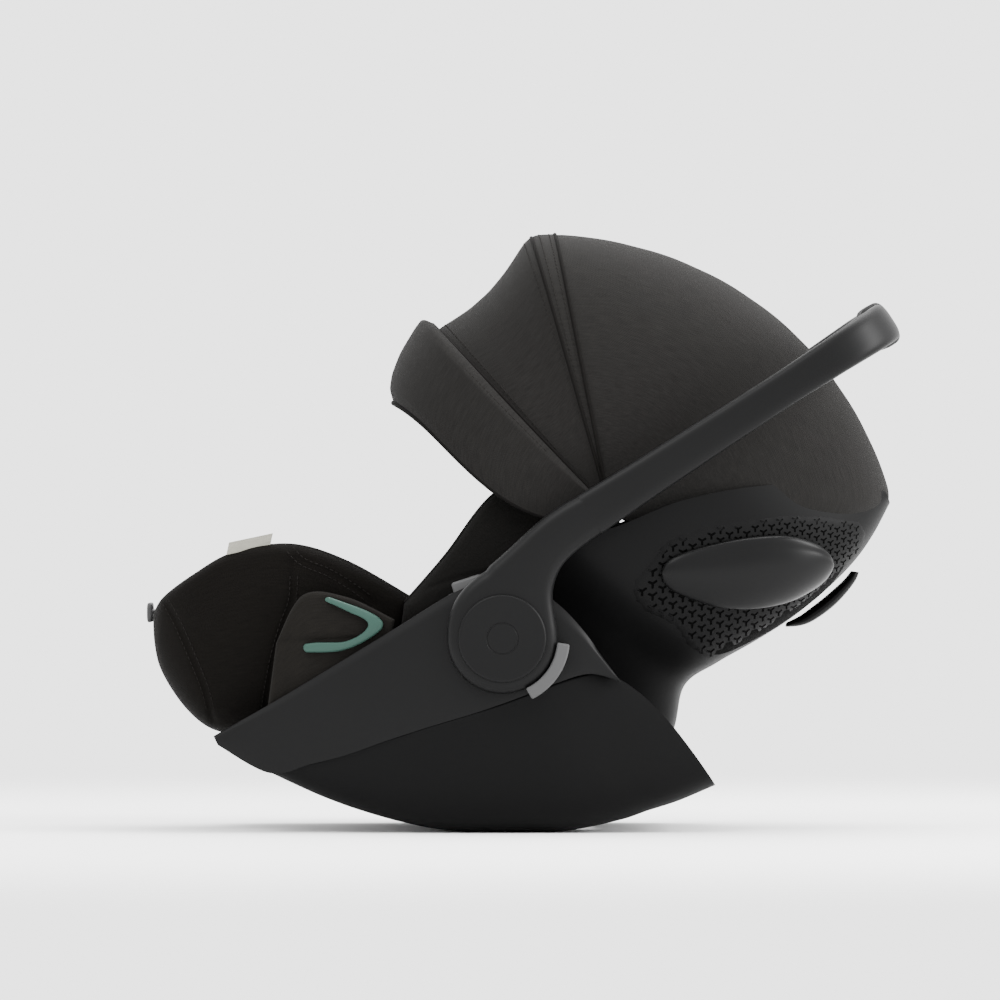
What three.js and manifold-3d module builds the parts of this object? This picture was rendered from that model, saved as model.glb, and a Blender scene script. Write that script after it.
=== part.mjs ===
// Infant car seat: a rocker carrier with a reclining back, a fan canopy and a swinging carry handle.
// Millimetres. +X runs from the foot end to the head end, +Z is up, and the origin is on the floor
// below the middle of the seat.
import * as THREE from 'three'
import { mergeVertices } from 'three/addons/utils/BufferGeometryUtils.js'
import Module from 'manifold-3d'

const wasm = await Module()
wasm.setup()

// ---- Driving dimensions ------------------------------------------------------------------------

const GAP = 0.3 // between pieces that touch
const RUN = 1.2 // between pieces that slide or turn past each other

const panelHalf = 195 // half width over the side panels at the hub
const panelWall = 4
const tubWall = 4
const rockerWall = 5
const floorFlat = { x0: -62, x1: 42 } // flat that the seat stands on

const hub = { x: -16.7, z: 176.5 } // handle axis
const hubRadius = 50
const hubCapRadius = 39.7
const hubCapDepth = 4.2
const axleRadius = 14
const axleRun = 0.4 // radial play of the handle on its axle

const handleAngle = 32.9 // of the arms above the horizontal, towards the head end
const handleOffset = 51 // of the arms' centre line above the hub axis
const handleReach = 454 // hub axis to the far face of the cross bar, along the arms
const handleThick = 19 // across the width of an arm, seen from above
const handleDepths = [[120, 40], [340, 32], [430, 37]] // of an arm seen from the side, by reach
const handleCorner = 62 // centre line radius where an arm turns into the cross bar
const handleRootReach = 128 // hub axis to the end of the moulded root
const gripLength = 150
const gripWall = 3

const recline = { x: 64, z: 126.5 } // hip axis that the back reclines about
const shellHalf = 186 // half width of the back shell at its rim
const shellWall = 4
const neckHalf = 122 // half width of the back shell inside the rocker
const padThick = 18 // of the back cushion

const canopyAxis = { x: 80.5, z: 292 }
const canopyHalf = 176
const canopySheet = 3
const bowSheet = 3

const podRise = 12 // how far a side impact pod stands out of the back shell
const ventThick = 1.6

const legThick = 15 // padding of the foot end
const buttonTravel = 4

// ---- Outlines seen from the side, each point [x, z] ---------------------------------------------

const rockerLow = [
  [-228, 53.5], [-204, 42], [-179, 31], [-147, 20], [-104, 7.5], [floorFlat.x0, 0],
  [floorFlat.x1, 0], [90, 11], [116, 19], [144, 28], [177, 42],
]
const rockerCrease = [
  [-221, 56], [-190, 62], [-158, 71], [-120, 84.5], [-82, 97], [-41, 109],
  [-5, 121.5], [22, 132], [42, 139], [57, 143], [71, 145],
]
const panelTop = [
  [-279, 87], [-216, 123], [-160, 157], [-110, 187.5], [-60, 218], [-30, 227],
  [5, 228], [34, 219], [57, 197], [80, 165], [97, 140],
]
const panelLow = [
  [-275, 82], [-228, 57], [-190, 65.3], [-158, 73.8], [-120, 87.3], [-82, 99.8],
  [-41, 112.2], [-5, 124.8], [30, 138.4], [62, 147.4], [90, 140.4],
]
const shellRim = [
  [40, 152], [24, 176], [34, 222], [55, 258], [91, 279], [143, 300],
  [200, 312], [252, 316.5], [296, 315], [333, 309],
]
const shellBack = [
  [103.4, 52.3], [138, 86], [150, 131], [179, 152], [214, 172], [247, 193],
  [279, 219], [305, 245], [323, 270], [338, 298],
]
const shellHalves = [
  neckHalf, neckHalf, neckHalf + 22, shellHalf - 6, shellHalf, shellHalf - 2,
  shellHalf - 12, shellHalf - 34, shellHalf - 66, shellHalf - 104,
]
const legRim = [
  [-336, 197], [-326, 213], [-298, 234], [-262, 254], [-212, 261], [-166, 248], [-122, 219],
]
const legLow = [
  [-337, 184], [-330, 147], [-305, 109], [-274, 88], [-236, 92], [-190, 101], [-146, 112],
]
const legHalves = [68, 94, 114, 122, 125, 126, 126]

// ---- Numbers and meshes -------------------------------------------------------------------------

const rad = THREE.MathUtils.degToRad
const lerp = THREE.MathUtils.lerp

// A smooth value through evenly placed stations.
function along(stations, t) {
  const at = THREE.MathUtils.clamp(t, 0, 1) * (stations.length - 1)
  const i = Math.min(Math.floor(at), stations.length - 2)
  const f = at - i
  const p = (k) => stations[THREE.MathUtils.clamp(k, 0, stations.length - 1)]
  const mix = (a, b, c, d) =>
    b + 0.5 * f * (c - a + f * (2 * a - 5 * b + 4 * c - d + f * (3 * (b - c) + d - a)))
  const [a, b, c, d] = [p(i - 1), p(i), p(i + 1), p(i + 2)]
  return Array.isArray(b) ? b.map((_, k) => mix(a[k], b[k], c[k], d[k])) : mix(a, b, c, d)
}

// A value on straight lines between [position, value] pairs.
function ramp(pairs, x) {
  const last = pairs.length - 1
  if (x <= pairs[0][0]) return pairs[0][1]
  if (x >= pairs[last][0]) return pairs[last][1]
  const i = pairs.findIndex((pair) => pair[0] > x) - 1
  const [[x0, v0], [x1, v1]] = [pairs[i], pairs[i + 1]]
  return lerp(v0, v1, (x - x0) / (x1 - x0))
}

// Half width of the side panels' outer face along the seat.
function panelWidth(x) {
  const inset = [
    [-279, 60], [-225, 43], [-160, 23], [-100, 9], [-50, 3], [0, 0], [45, 0], [100, 8], [177, 26],
  ]
  return panelHalf - ramp(inset, x)
}

// Turns a list of corner points and triangles into a geometry whose faces point out.
function geometryOf(points, triangles) {
  let volume = 0
  for (const [a, b, c] of triangles) {
    const [p, q, r] = [points[a], points[b], points[c]]
    volume += p[0] * (q[1] * r[2] - q[2] * r[1]) - p[1] * (q[0] * r[2] - q[2] * r[0]) +
      p[2] * (q[0] * r[1] - q[1] * r[0])
  }
  const faces = volume < 0 ? triangles.map(([a, b, c]) => [a, c, b]) : triangles
  const geometry = new THREE.BufferGeometry()
  geometry.setAttribute('position', new THREE.Float32BufferAttribute(points.flat(), 3))
  geometry.setIndex(faces.flat())
  return geometry
}

// A plate between two grids of points of the same size: both skins and the edge all round.
function plate(outer, inner) {
  const rows = outer.length
  const columns = outer[0].length
  const points = [...outer.flat(), ...inner.flat()]
  const at = (side, i, j) => side * rows * columns + i * columns + j
  const triangles = []
  const quad = (a, b, c, d) => triangles.push([a, b, c], [a, c, d])
  for (let i = 0; i < rows - 1; i++) {
    for (let j = 0; j < columns - 1; j++) {
      quad(at(0, i, j), at(0, i + 1, j), at(0, i + 1, j + 1), at(0, i, j + 1))
      quad(at(1, i, j), at(1, i, j + 1), at(1, i + 1, j + 1), at(1, i + 1, j))
    }
  }
  for (let i = 0; i < rows - 1; i++) {
    quad(at(0, i, 0), at(1, i, 0), at(1, i + 1, 0), at(0, i + 1, 0))
    quad(at(0, i, columns - 1), at(0, i + 1, columns - 1), at(1, i + 1, columns - 1), at(1, i, columns - 1))
  }
  for (let j = 0; j < columns - 1; j++) {
    quad(at(0, 0, j), at(0, 0, j + 1), at(1, 0, j + 1), at(1, 0, j))
    quad(at(0, rows - 1, j), at(1, rows - 1, j), at(1, rows - 1, j + 1), at(0, rows - 1, j + 1))
  }
  return geometryOf(points, triangles)
}

// A solid through closed sections of the same number of points, with its two ends filled.
function loft(sections) {
  const count = sections[0].length
  const points = sections.flat()
  const triangles = []
  for (let i = 0; i < sections.length - 1; i++) {
    for (let j = 0; j < count; j++) {
      const [a, b] = [i * count + j, i * count + ((j + 1) % count)]
      triangles.push([a, a + count, b + count], [a, b + count, b])
    }
  }
  for (const [end, turn] of [[0, false], [sections.length - 1, true]]) {
    const centre = [0, 1, 2].map((k) => sections[end].reduce((sum, p) => sum + p[k], 0) / count)
    points.push(centre)
    for (let j = 0; j < count; j++) {
      const [a, b] = [end * count + j, end * count + ((j + 1) % count)]
      triangles.push(turn ? [points.length - 1, b, a] : [points.length - 1, a, b])
    }
  }
  return geometryOf(points, triangles)
}

// Half of a trough's section as [share of the half width, share of the depth], rim to middle.
const bucketSection = [
  [1, 0], [0.995, 0.2], [0.975, 0.42], [0.93, 0.63], [0.84, 0.81], [0.69, 0.93], [0.45, 0.985], [0, 1],
]
const rockerSection = [[1, 0], [0.985, 0.3], [0.955, 0.6], [0.91, 0.82], [0.83, 0.95], [0.66, 1], [0, 1]]

const bothSides = (section) => [...section, ...section.slice(0, -1).reverse().map(([y, d]) => [-y, d])]

// A trough along X: a rim line, a bottom line and a half width, with a wall inside them.
// from and to cut it to a stretch; inset draws the whole trough in, as for what lies inside it.
function trough({ rim, low, half, section = bucketSection, wall, steps, from = 0, to = 1, inset = 0 }) {
  const profile = bothSides(section)
  const skin = (t, offset) => {
    const r = along(rim, t)
    const b = along(low, t)
    const depth = Math.hypot(b[0] - r[0], b[1] - r[1])
    const reach = (depth - offset) / depth
    const w = along(half, t) - offset
    const [dx, dz] = [(b[0] - r[0]) * reach, (b[1] - r[1]) * reach]
    return profile.map(([y, d]) => [r[0] + dx * d, w * y, r[1] + dz * d])
  }
  const stations = Array.from({ length: steps + 1 }, (_, i) => lerp(from, to, i / steps))
  return plate(stations.map((t) => skin(t, inset)), stations.map((t) => skin(t, inset + wall)))
}

// A plate over the field between a low line and a high line, seen from the side. outer and inner
// turn a point x, z, with its shares u along and v up the field, into a point of each face.
function skinPlate(low, high, columns, rows, outer, inner) {
  const face = (skin) =>
    Array.from({ length: columns + 1 }, (_, i) => {
      const [a, b] = [along(low, i / columns), along(high, i / columns)]
      return Array.from({ length: rows + 1 }, (_, j) =>
        skin(lerp(a[0], b[0], j / rows), lerp(a[1], b[1], j / rows), i / columns, j / rows))
    })
  return plate(face(outer), face(inner))
}

// The same plate standing upright, with its faces at the half widths that outer and inner give;
// side is -1 for the left hand and 1 for the right.
function sidePlate({ low, high, columns, rows, outer, inner, side }) {
  const upright = (width) => (x, z, u, v) => [x, side * width(x, z, u, v), z]
  return skinPlate(low, high, columns, rows, upright(outer), upright(inner))
}

// Extrudes an outline in the X-Z plane between two distances from the middle plane.
function sideExtrude(outline, near, far, side, holes = []) {
  const shape = new THREE.Shape(outline.map(([x, z]) => new THREE.Vector2(x, z)))
  shape.holes = holes.map((hole) => new THREE.Path(hole.map(([x, z]) => new THREE.Vector2(x, z))))
  const geometry = new THREE.ExtrudeGeometry(shape, { depth: far - near, bevelEnabled: false, steps: 1 })
  geometry.rotateX(Math.PI / 2)
  geometry.translate(0, side > 0 ? far : -near, 0)
  return geometry
}

const circle = (x, z, radius, count, start = 0, sweep = 360) =>
  Array.from({ length: count }, (_, i) => {
    const a = rad(start + (sweep * i) / (sweep === 360 ? count : count - 1))
    return [x + radius * Math.cos(a), z + radius * Math.sin(a)]
  })

function disc(x, z, radius, near, far, side, segments = 24) {
  const geometry = new THREE.CylinderGeometry(radius, radius, far - near, segments)
  geometry.translate(x, (side * (near + far)) / 2, z)
  return geometry
}

function box(x0, x1, y0, y1, z0, z1) {
  const geometry = new THREE.BoxGeometry(x1 - x0, y1 - y0, z1 - z0)
  return geometry.translate((x0 + x1) / 2, (y0 + y1) / 2, (z0 + z1) / 2)
}

// A copy whose faces point out again after it was scaled by a negative number.
function mirrored(geometry) {
  const { position } = geometry.attributes
  const points = Array.from({ length: position.count }, (_, i) => [
    position.getX(i), position.getY(i), position.getZ(i),
  ])
  const index = geometry.index.array
  const triangles = Array.from({ length: index.length / 3 }, (_, i) => [...index.slice(3 * i, 3 * i + 3)])
  return geometryOf(points, triangles)
}

function solidOf(geometry) {
  const bare = geometry.clone()
  for (const name of Object.keys(bare.attributes)) if (name !== 'position') bare.deleteAttribute(name)
  const merged = mergeVertices(bare, 1e-4)
  const mesh = new wasm.Mesh({
    numProp: 3,
    vertProperties: new Float32Array(merged.attributes.position.array),
    triVerts: new Uint32Array(merged.index.array),
  })
  return new wasm.Manifold(mesh)
}

const cut = (geometry, ...tools) =>
  fromSolid(tools.reduce((body, tool) => body.subtract(solidOf(tool)), solidOf(geometry)))
const joined = (...pieces) => fromSolid(pieces.map(solidOf).reduce((body, piece) => body.add(piece)))

function fromSolid(body) {
  const { vertProperties, triVerts } = body.getMesh()
  const result = new THREE.BufferGeometry()
  result.setAttribute('position', new THREE.BufferAttribute(new Float32Array(vertProperties), 3))
  result.setIndex(new THREE.BufferAttribute(new Uint32Array(triVerts), 1))
  return result
}

// ---- Materials ----------------------------------------------------------------------------------

const paint = (color, roughness, metalness = 0) =>
  new THREE.MeshStandardMaterial({ color, roughness, metalness })
const plastic = paint(0x2b2b2b, 0.55)
const darkPlastic = paint(0x202020, 0.6)
const greyPlastic = paint(0x848484, 0.45)
const tealPlastic = paint(0x6d8f84, 0.5)
const fabric = paint(0x211f1d, 0.95)
const softFabric = paint(0x35332f, 0.95)
const canopyFabric = paint(0x373534, 0.9)
const webbing = paint(0x1c1c1c, 0.8)
const labelFabric = paint(0xbfbfb2, 0.9)
const steel = paint(0x9a9a9a, 0.35, 0.9)
const redPlastic = paint(0x8e2a22, 0.45)

const seat = new THREE.Group()
function add(name, geometry, material) {
  const mesh = new THREE.Mesh(geometry, material)
  mesh.name = name
  seat.add(mesh)
}
const sides = [['left', -1], ['right', 1]]

// ---- Carrier: rocker, side panels, inner tub ----------------------------------------------------

const rockerHalves = rockerCrease.map(([x], i) => {
  const tail = along(rockerLow, i / (rockerCrease.length - 1))[0]
  return Math.min(panelWidth(x), panelWidth((x + tail) / 2)) - 1
})
const lockBars = { front: -96, rear: 66 }
const lockBarRadius = 6
const lockBarHeight = 27
const lockBarHalf = 64
const slotLong = 34 // of the slot in the underside that shows a lock bar
const rockerShell = trough({
  rim: rockerCrease, low: rockerLow, half: rockerHalves, section: rockerSection, wall: rockerWall,
  steps: rockerLow.length - 1,
})
const slots = Object.values(lockBars).map((x) =>
  box(x - slotLong / 2, x + slotLong / 2, -lockBarHalf + 10, lockBarHalf - 10, -5, lockBarHeight + 8))
add('rocker_base', cut(rockerShell, ...slots), darkPlastic)

for (const [name, x] of Object.entries(lockBars)) {
  const end = lockBarHalf - GAP
  add(`lock_bar_${name}`, disc(x, lockBarHeight, lockBarRadius, -end, end, 1, 16), steel)
}
for (const [hand, side] of sides) {
  const rail = box(lockBars.front - 22, lockBars.rear + 22, 0, 6, lockBarHeight - 9, lockBarHeight + 11)
  add(`dock_rail_${hand}`, rail.translate(0, side > 0 ? lockBarHalf : -lockBarHalf - 6, 0), steel)
}

for (const [hand, side] of sides) {
  add(`side_panel_${hand}`, sidePlate({
    low: panelLow, high: panelTop, columns: 20, rows: 4, side,
    outer: (x) => panelWidth(x), inner: (x) => panelWidth(x) - panelWall,
  }), plastic)
}

const tubRim = [
  [-262, 92], [-216, 119], [-160, 152], [-110, 182], [-60, 212], [-24, 219], [8, 216], [26, 205],
]
const tubLow = [[-252, 74], [-216, 62], [-170, 52], [-120, 44], [-76, 40], [-40, 40], [-8, 41], [12, 42]]
const tubHalves = tubRim.map(([x], i) =>
  Math.min(panelWidth(x), panelWidth(tubLow[i][0]) + 4) - panelWall - RUN)
add('seat_tub', trough({
  rim: tubRim, low: tubLow, half: tubHalves, wall: tubWall, steps: 14,
}), darkPlastic)

// ---- Hub, handle and its buttons ----------------------------------------------------------------

const armRun = 2.5 // between a side panel and an arm
const armNear = panelHalf + armRun
const armFar = armNear + handleThick
const reach = new THREE.Vector3(Math.cos(rad(handleAngle)), 0, Math.sin(rad(handleAngle)))
const lift = new THREE.Vector3(-Math.sin(rad(handleAngle)), 0, Math.cos(rad(handleAngle)))

// A place on the handle: how far out along it, and how far above its centre line.
const onHandle = (out, above) => [
  hub.x + reach.x * out + lift.x * above,
  hub.z + reach.z * out + lift.z * above,
]

for (const [hand, side] of sides) {
  add(`hub_axle_${hand}`, disc(hub.x, hub.z, axleRadius, panelHalf + GAP, armFar - 2, side, 24), steel)
  const [bottom, top] = [-1, 1].map((way) => handleOffset + (way * ramp(handleDepths, handleRootReach)) / 2)
  const root = [
    ...circle(hub.x, hub.z, hubRadius, 30, 106, 250), onHandle(52, -8), onHandle(60, 8),
    onHandle(70, 20), onHandle(86, bottom - 3), onHandle(handleRootReach, bottom),
    onHandle(handleRootReach, top), onHandle(94, top + 1.5), onHandle(60, top - 2), onHandle(30, 61.5),
  ]
  const bore = circle(hub.x, hub.z, axleRadius + axleRun, 24)
  add(`handle_root_${hand}`, sideExtrude(root, armNear, armFar, side, [bore]), plastic)
  const cap = disc(hub.x, hub.z, hubCapRadius, armFar + GAP, armFar + hubCapDepth, side, 36)
  add(`hub_cap_${hand}`, cap, plastic)
}

// The bow: up one arm, round the corner, across the bar and down the other arm.
const bowY = (armNear + armFar) / 2
const bowOut = handleReach - handleThick / 2
const bowPath = []
const bowStart = handleRootReach + GAP
for (const out of [bowStart, 230, 320, bowOut - handleCorner]) bowPath.push([out, -bowY, 0, -1])
for (let i = 1; i <= 8; i++) {
  const a = rad((90 * i) / 8)
  bowPath.push([
    bowOut - handleCorner + handleCorner * Math.sin(a), -bowY + handleCorner * (1 - Math.cos(a)),
    Math.sin(a), -Math.cos(a),
  ])
}
for (const y of [-gripLength / 2, 0]) bowPath.push([bowOut, y, 1, 0])
const bowStations = [...bowPath, ...bowPath.slice(0, -1).reverse().map(([o, y, a, b]) => [o, -y, a, -b])]

// A rounded oblong in the plane across the bow, grown by a wall.
const bowSection = (wall, out) => {
  const corner = 8
  const [h, t] = [ramp(handleDepths, out) / 2 - corner, handleThick / 2 - corner]
  return [[h, t, 0], [-h, t, 90], [-h, -t, 180], [h, -t, 270]].flatMap(([a, b, start]) =>
    circle(a, b, corner + wall, 4, start, 90))
}
const bowRing = ([out, y, outX, outY], wall) =>
  bowSection(wall, out).map(([above, across]) => {
    const [x, z] = onHandle(out + outX * across, handleOffset + above)
    return [x, y + outY * across, z]
  })
add('handle_bow', loft(bowStations.map((station) => bowRing(station, 0))), plastic)

// The grip is a sleeve on the middle of the bar.
const gripStations = [-gripLength / 2, 0, gripLength / 2].map((y) => [bowOut, y, 1, 0])
const gripOuter = loft(gripStations.map((station) => bowRing(station, gripWall)))
const gripHole = loft([-gripLength, gripLength].map((y) => bowRing([bowOut, y, 1, 0], GAP)))
add('handle_grip', cut(gripOuter, gripHole), darkPlastic)

const arcButton = { inner: hubRadius + 1, outer: hubRadius + 11.5, start: -67, end: -5 }
for (const [hand, side] of sides) {
  const { inner, outer, start, end } = arcButton
  const outline = [
    ...circle(hub.x, hub.z, outer, 14, start, end - start),
    ...circle(hub.x, hub.z, inner, 14, end, start - end),
  ]
  add(`handle_button_${hand}`, sideExtrude(outline, armNear + 6, armFar - 1, side), greyPlastic)
}

// ---- Carrier release buttons on the rim ---------------------------------------------------------

const releaseAt = { x: -47, z: 222, slope: 18 }
for (const [hand, side] of sides) {
  const place = (geometry) => geometry.rotateY(rad(-releaseAt.slope))
    .translate(releaseAt.x, side * (panelHalf - 26.5), releaseAt.z)
  const housing = place(box(-20, 20, -11, 11, -18, 0))
  const pocket = place(box(-15, 15, -7, 7, -8 - buttonTravel, 4))
  add(`release_housing_${hand}`, cut(housing, pocket), darkPlastic)
  add(`release_button_${hand}`, place(box(-14.4, 14.4, -6.4, 6.4, -7.6, 9)), greyPlastic)
}

// ---- Belt guides at the foot end ----------------------------------------------------------------

const guideLow = [[-224, 122], [-196, 138], [-160, 158], [-122, 182]]
const guideHigh = [[-219, 157], [-201, 207], [-160, 215], [-118, 192]]
const guideHook = [
  [-180, 216.5], [-150, 206], [-128, 194.5], [-120.5, 187.5], [-126, 181], [-150, 173], [-176, 162],
  [-199, 156], [-197, 167], [-174, 173.5], [-150, 184], [-137, 189], [-152, 197], [-181, 208.5],
]
const guideThick = 9
const hookThick = 8
const guideFace = (x) => panelWidth(x) - panelWall - tubWall - 2 * RUN - 3
for (const [hand, side] of sides) {
  add(`belt_guide_housing_${hand}`, sidePlate({
    low: guideLow, high: guideHigh, columns: 8, rows: 4, side,
    outer: guideFace, inner: (x) => guideFace(x) - guideThick,
  }), darkPlastic)
  const hook = sideExtrude(guideHook, 1.5, 1.5 + hookThick, side)
  const place = hook.attributes.position
  for (let i = 0; i < place.count; i++) place.setY(i, place.getY(i) + side * guideFace(place.getX(i)))
  add(`belt_guide_${hand}`, hook, tealPlastic)
}

// ---- Foot end -----------------------------------------------------------------------------------

add('leg_rest_cover', trough({
  rim: legRim, low: legLow, half: legHalves, wall: legThick, steps: 14,
}), fabric)
add('foot_lever', box(-343, -338, -30, 30, 189, 207), greyPlastic)
const labelAt = { x: -246, z: 263.5 }
add('fabric_label', box(-20, 20, -1, 1, -4.4, 5).rotateY(rad(-12))
  .translate(labelAt.x, -legHalves[4] + 9, labelAt.z), labelFabric)

// ---- Seat cushion and harness on the carrier ----------------------------------------------------

const cushionLow = [[-130, 119], [-110, 92], [-60, 66], [-10, 60], [22, 62]]
const cushionHigh = [[-118, 138], [-96, 118], [-50, 98], [-6, 92], [30, 92]]
const cushionHalf = 116
add('seat_cushion', loft(Array.from({ length: 9 }, (_, i) => {
  const [a, b] = [along(cushionLow, i / 8), along(cushionHigh, i / 8)]
  return [[1, 0.2], [1, 0.8], [0.86, 1], [0, 0.93], [-0.86, 1], [-1, 0.8], [-1, 0.2], [-0.86, 0], [0.86, 0]]
    .map(([y, d]) => [lerp(a[0], b[0], d), cushionHalf * y, lerp(a[1], b[1], d)])
})), softFabric)

const buckleAt = { x: -62, z: 128 }
const tilt = -28
const onBuckle = (geometry) => geometry.rotateY(rad(tilt)).translate(buckleAt.x, 0, buckleAt.z)
const buttonHalf = 9
add('buckle', onBuckle(cut(box(-26, 26, -21, 21, -8, 8),
  box(-18, 4, -buttonHalf - RUN, buttonHalf + RUN, 0, 12))), darkPlastic)
add('buckle_button', onBuckle(box(-17, 3, -buttonHalf, buttonHalf, buttonTravel + 0.6, 10.5)), redPlastic)
add('crotch_strap', loft([[-56, 101.5], [-57, 110], [-57.8, 116.5]].map(([x, z]) =>
  [[-2, -16], [2, -16], [2, 16], [-2, 16]].map(([dx, y]) => [x + dx, y, z]))), webbing)
const adjusterAt = { x: -104, z: 132 }
const onAdjuster = (geometry) => geometry.rotateY(rad(38)).translate(adjusterAt.x, 0, adjusterAt.z)
add('harness_adjuster', onAdjuster(cut(box(-17, 17, -20, 20, 0, 11),
  box(-9, 9, -10, 10, 4, 20))), darkPlastic)
add('adjuster_button', onAdjuster(box(-8, 8, -9, 9, 4.4 + buttonTravel, 12.5)), greyPlastic)

// ---- Back: shell, hip pins, vents, impact pods --------------------------------------------------

// The shell's half width where a side view shows the point x, z: the section line through the
// point gives its depth, and the bucket section gives the share of the half width there.
function shellWidth(x, z) {
  let [near, far] = [0, 1]
  const aside = (t) => {
    const [r, b] = [along(shellRim, t), along(shellBack, t)]
    return (b[0] - r[0]) * (z - r[1]) - (b[1] - r[1]) * (x - r[0])
  }
  for (let i = 0; i < 30; i++) {
    const middle = (near + far) / 2
    if (aside(middle) > 0) near = middle
    else far = middle
  }
  const t = (near + far) / 2
  const [r, b] = [along(shellRim, t), along(shellBack, t)]
  const depth = Math.hypot(x - r[0], z - r[1]) / Math.hypot(b[0] - r[0], b[1] - r[1])
  const share = ramp([...bucketSection].map(([y, d]) => [d, y]), Math.min(depth, 0.99))
  return along(shellHalves, t) * share
}

add('back_shell', trough({
  rim: shellRim, low: shellBack, half: shellHalves, wall: shellWall, steps: 26,
}), plastic)
const tubSide = panelHalf - panelWall - RUN - tubWall
for (const [hand, side] of sides) {
  add(`recline_pin_${hand}`, disc(recline.x, recline.z, 13, neckHalf + RUN, tubSide - 30, side, 20), steel)
}

const ventLow = [
  [105, 212], [134, 182], [168, 167], [203, 174.5], [240, 193], [285, 226], [300, 240], [310, 265],
]
const ventHigh = [
  [108, 219], [118, 235], [135, 261], [172, 275.5], [212, 282], [258, 284], [294, 281], [311, 271],
]
const podLow = [[126.5, 231.5], [148, 216], [172, 207], [206, 205.5], [238, 211], [262, 224], [279, 240]]
const podHigh = [[126, 236], [140, 251], [172, 261.5], [206, 267.5], [240, 269], [266, 262], [281, 250]]
const ventGap = 3.8
const podGap = ventGap + ventThick + 1.2
const shellSkin = (side, offset) => (x, z, u, v) => {
  const step = 1.5
  const slopeX = (shellWidth(x + step, z) - shellWidth(x - step, z)) / (2 * step)
  const slopeZ = (shellWidth(x, z + step) - shellWidth(x, z - step)) / (2 * step)
  const size = Math.hypot(slopeX, 1, slopeZ)
  const out = offset(u, v) / size
  return [x - slopeX * out, side * (shellWidth(x, z) + out), z - slopeZ * out]
}
const podBulge = (u, v) =>
  1.5 + podRise * Math.sin(Math.PI * v) ** 0.6 * Math.sin(Math.PI * lerp(0.06, 0.88, u)) ** 0.7
for (const [hand, side] of sides) {
  add(`vent_panel_${hand}`, skinPlate(ventLow, ventHigh, 18, 9,
    shellSkin(side, () => ventGap + ventThick), shellSkin(side, () => ventGap)), darkPlastic)
  add(`impact_pod_${hand}`, skinPlate(podLow, podHigh, 14, 7,
    shellSkin(side, (u, v) => podGap + podBulge(u, v)), shellSkin(side, () => podGap)), plastic)
}

// ---- Back: cushion, side wings, headrest, harness -----------------------------------------------

const cushionShell = trough({
  rim: shellRim, low: shellBack, half: shellHalves, wall: padThick, steps: 20,
  from: 0.22, to: 0.93, inset: shellWall + RUN,
})
const bracket = { half: 9, foot: 264, near: canopyHalf - 14, thick: 3.5 }
const bracketNotch = (side) => {
  const reach = bracket.half + RUN
  const notch = box(canopyAxis.x - reach, canopyAxis.x + reach, bracket.near - RUN, shellHalf + 4,
    bracket.foot - RUN, canopyAxis.z + 20)
  return notch.scale(1, side, 1)
}
add('back_cushion', cut(cushionShell, bracketNotch(1), mirrored(bracketNotch(-1))), softFabric)

const wingLow = [[-88, 192], [-66, 172], [-36, 165], [-4, 172], [18, 190]]
const wingHigh = [[-100, 213], [-66, 260], [-29, 309], [20, 296], [44, 262]]
const wingFar = panelHalf - 38
for (const [hand, side] of sides) {
  add(`side_wing_${hand}`, sidePlate({
    low: wingLow, high: wingHigh, columns: 8, rows: 5, side,
    outer: (x, z, u, v) => wingFar - 8 + 8 * Math.sin(Math.PI * v),
    inner: (x, z, u, v) => wingFar - 22 - 8 * Math.sin(Math.PI * v),
  }), fabric)
}

const headRim = [[118, 262], [140, 281], [170, 296], [198, 305]]
const headLow = [[166, 196], [188, 213], [212, 232], [233, 250]]
add('headrest', trough({
  rim: headRim, low: headLow, half: [122, 128, 126, 112], wall: 20, steps: 8,
}), softFabric)

const strapTop = [144, 214]
const strapEnd = [-18, 138]
for (const [hand, side] of sides) {
  const band = (points, half, thick) => loft(points.map(([x, z, y], i) => {
    const next = points[Math.min(i + 1, points.length - 1)]
    const last = points[Math.max(i - 1, 0)]
    const length = Math.hypot(next[0] - last[0], next[1] - last[1])
    const [nx, nz] = [-(next[1] - last[1]) / length, (next[0] - last[0]) / length]
    return [[-half, 0], [half, 0], [half, thick], [-half, thick]].map(([dy, up]) =>
      [x + nx * up, side * (y + dy), z + nz * up])
  }))
  const route = (t) => {
    const sag = 26 * Math.sin(Math.PI * t)
    return [
      lerp(strapTop[0], strapEnd[0], t) + 0.4 * sag,
      lerp(strapTop[1], strapEnd[1], t) - sag, lerp(40, 26, t),
    ]
  }
  const stretch = (a, b, count) => Array.from({ length: count + 1 }, (_, i) => route(lerp(a, b, i / count)))
  add(`shoulder_pad_${hand}`, band(stretch(0.02, 0.6, 6), 24, 12), softFabric)
  add(`shoulder_strap_${hand}`, band(stretch(0.62, 1, 5), 17, 2.4), webbing)
}

// ---- Back: rear release lever -------------------------------------------------------------------

const leverOuter = [[249, 183], [269, 190], [286, 201.5], [298, 214.5], [307, 228], [311, 236]]
const leverInner = [[303, 237.5], [298.5, 231], [290, 217], [279, 206.5], [266, 197.5], [249, 191.5]]
const rearLeverHalf = 34
const leverBand = sideExtrude([...leverOuter, ...leverInner], -rearLeverHalf, rearLeverHalf, 1)
add('rear_release_lever', leverBand, darkPlastic)

// ---- Canopy -------------------------------------------------------------------------------------

const visorRadii = [[134, 241.5], [143, 239], [148, 234], [151, 229], [153.5, 220]]
const frontRadii = [
  [101, 258], [105.5, 262], [108.8, 252.5], [114.4, 236], [119, 228], [124.4, 224.5], [132.5, 228],
]
const rearRadii = [[10, 214], [40, 212], [70, 213], [99.5, 217]]

const archPower = 0.62 // how square the arch is from side to side
const archStart = 0.022 // share of the arch that a sheet leaves free at the pivot

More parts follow.
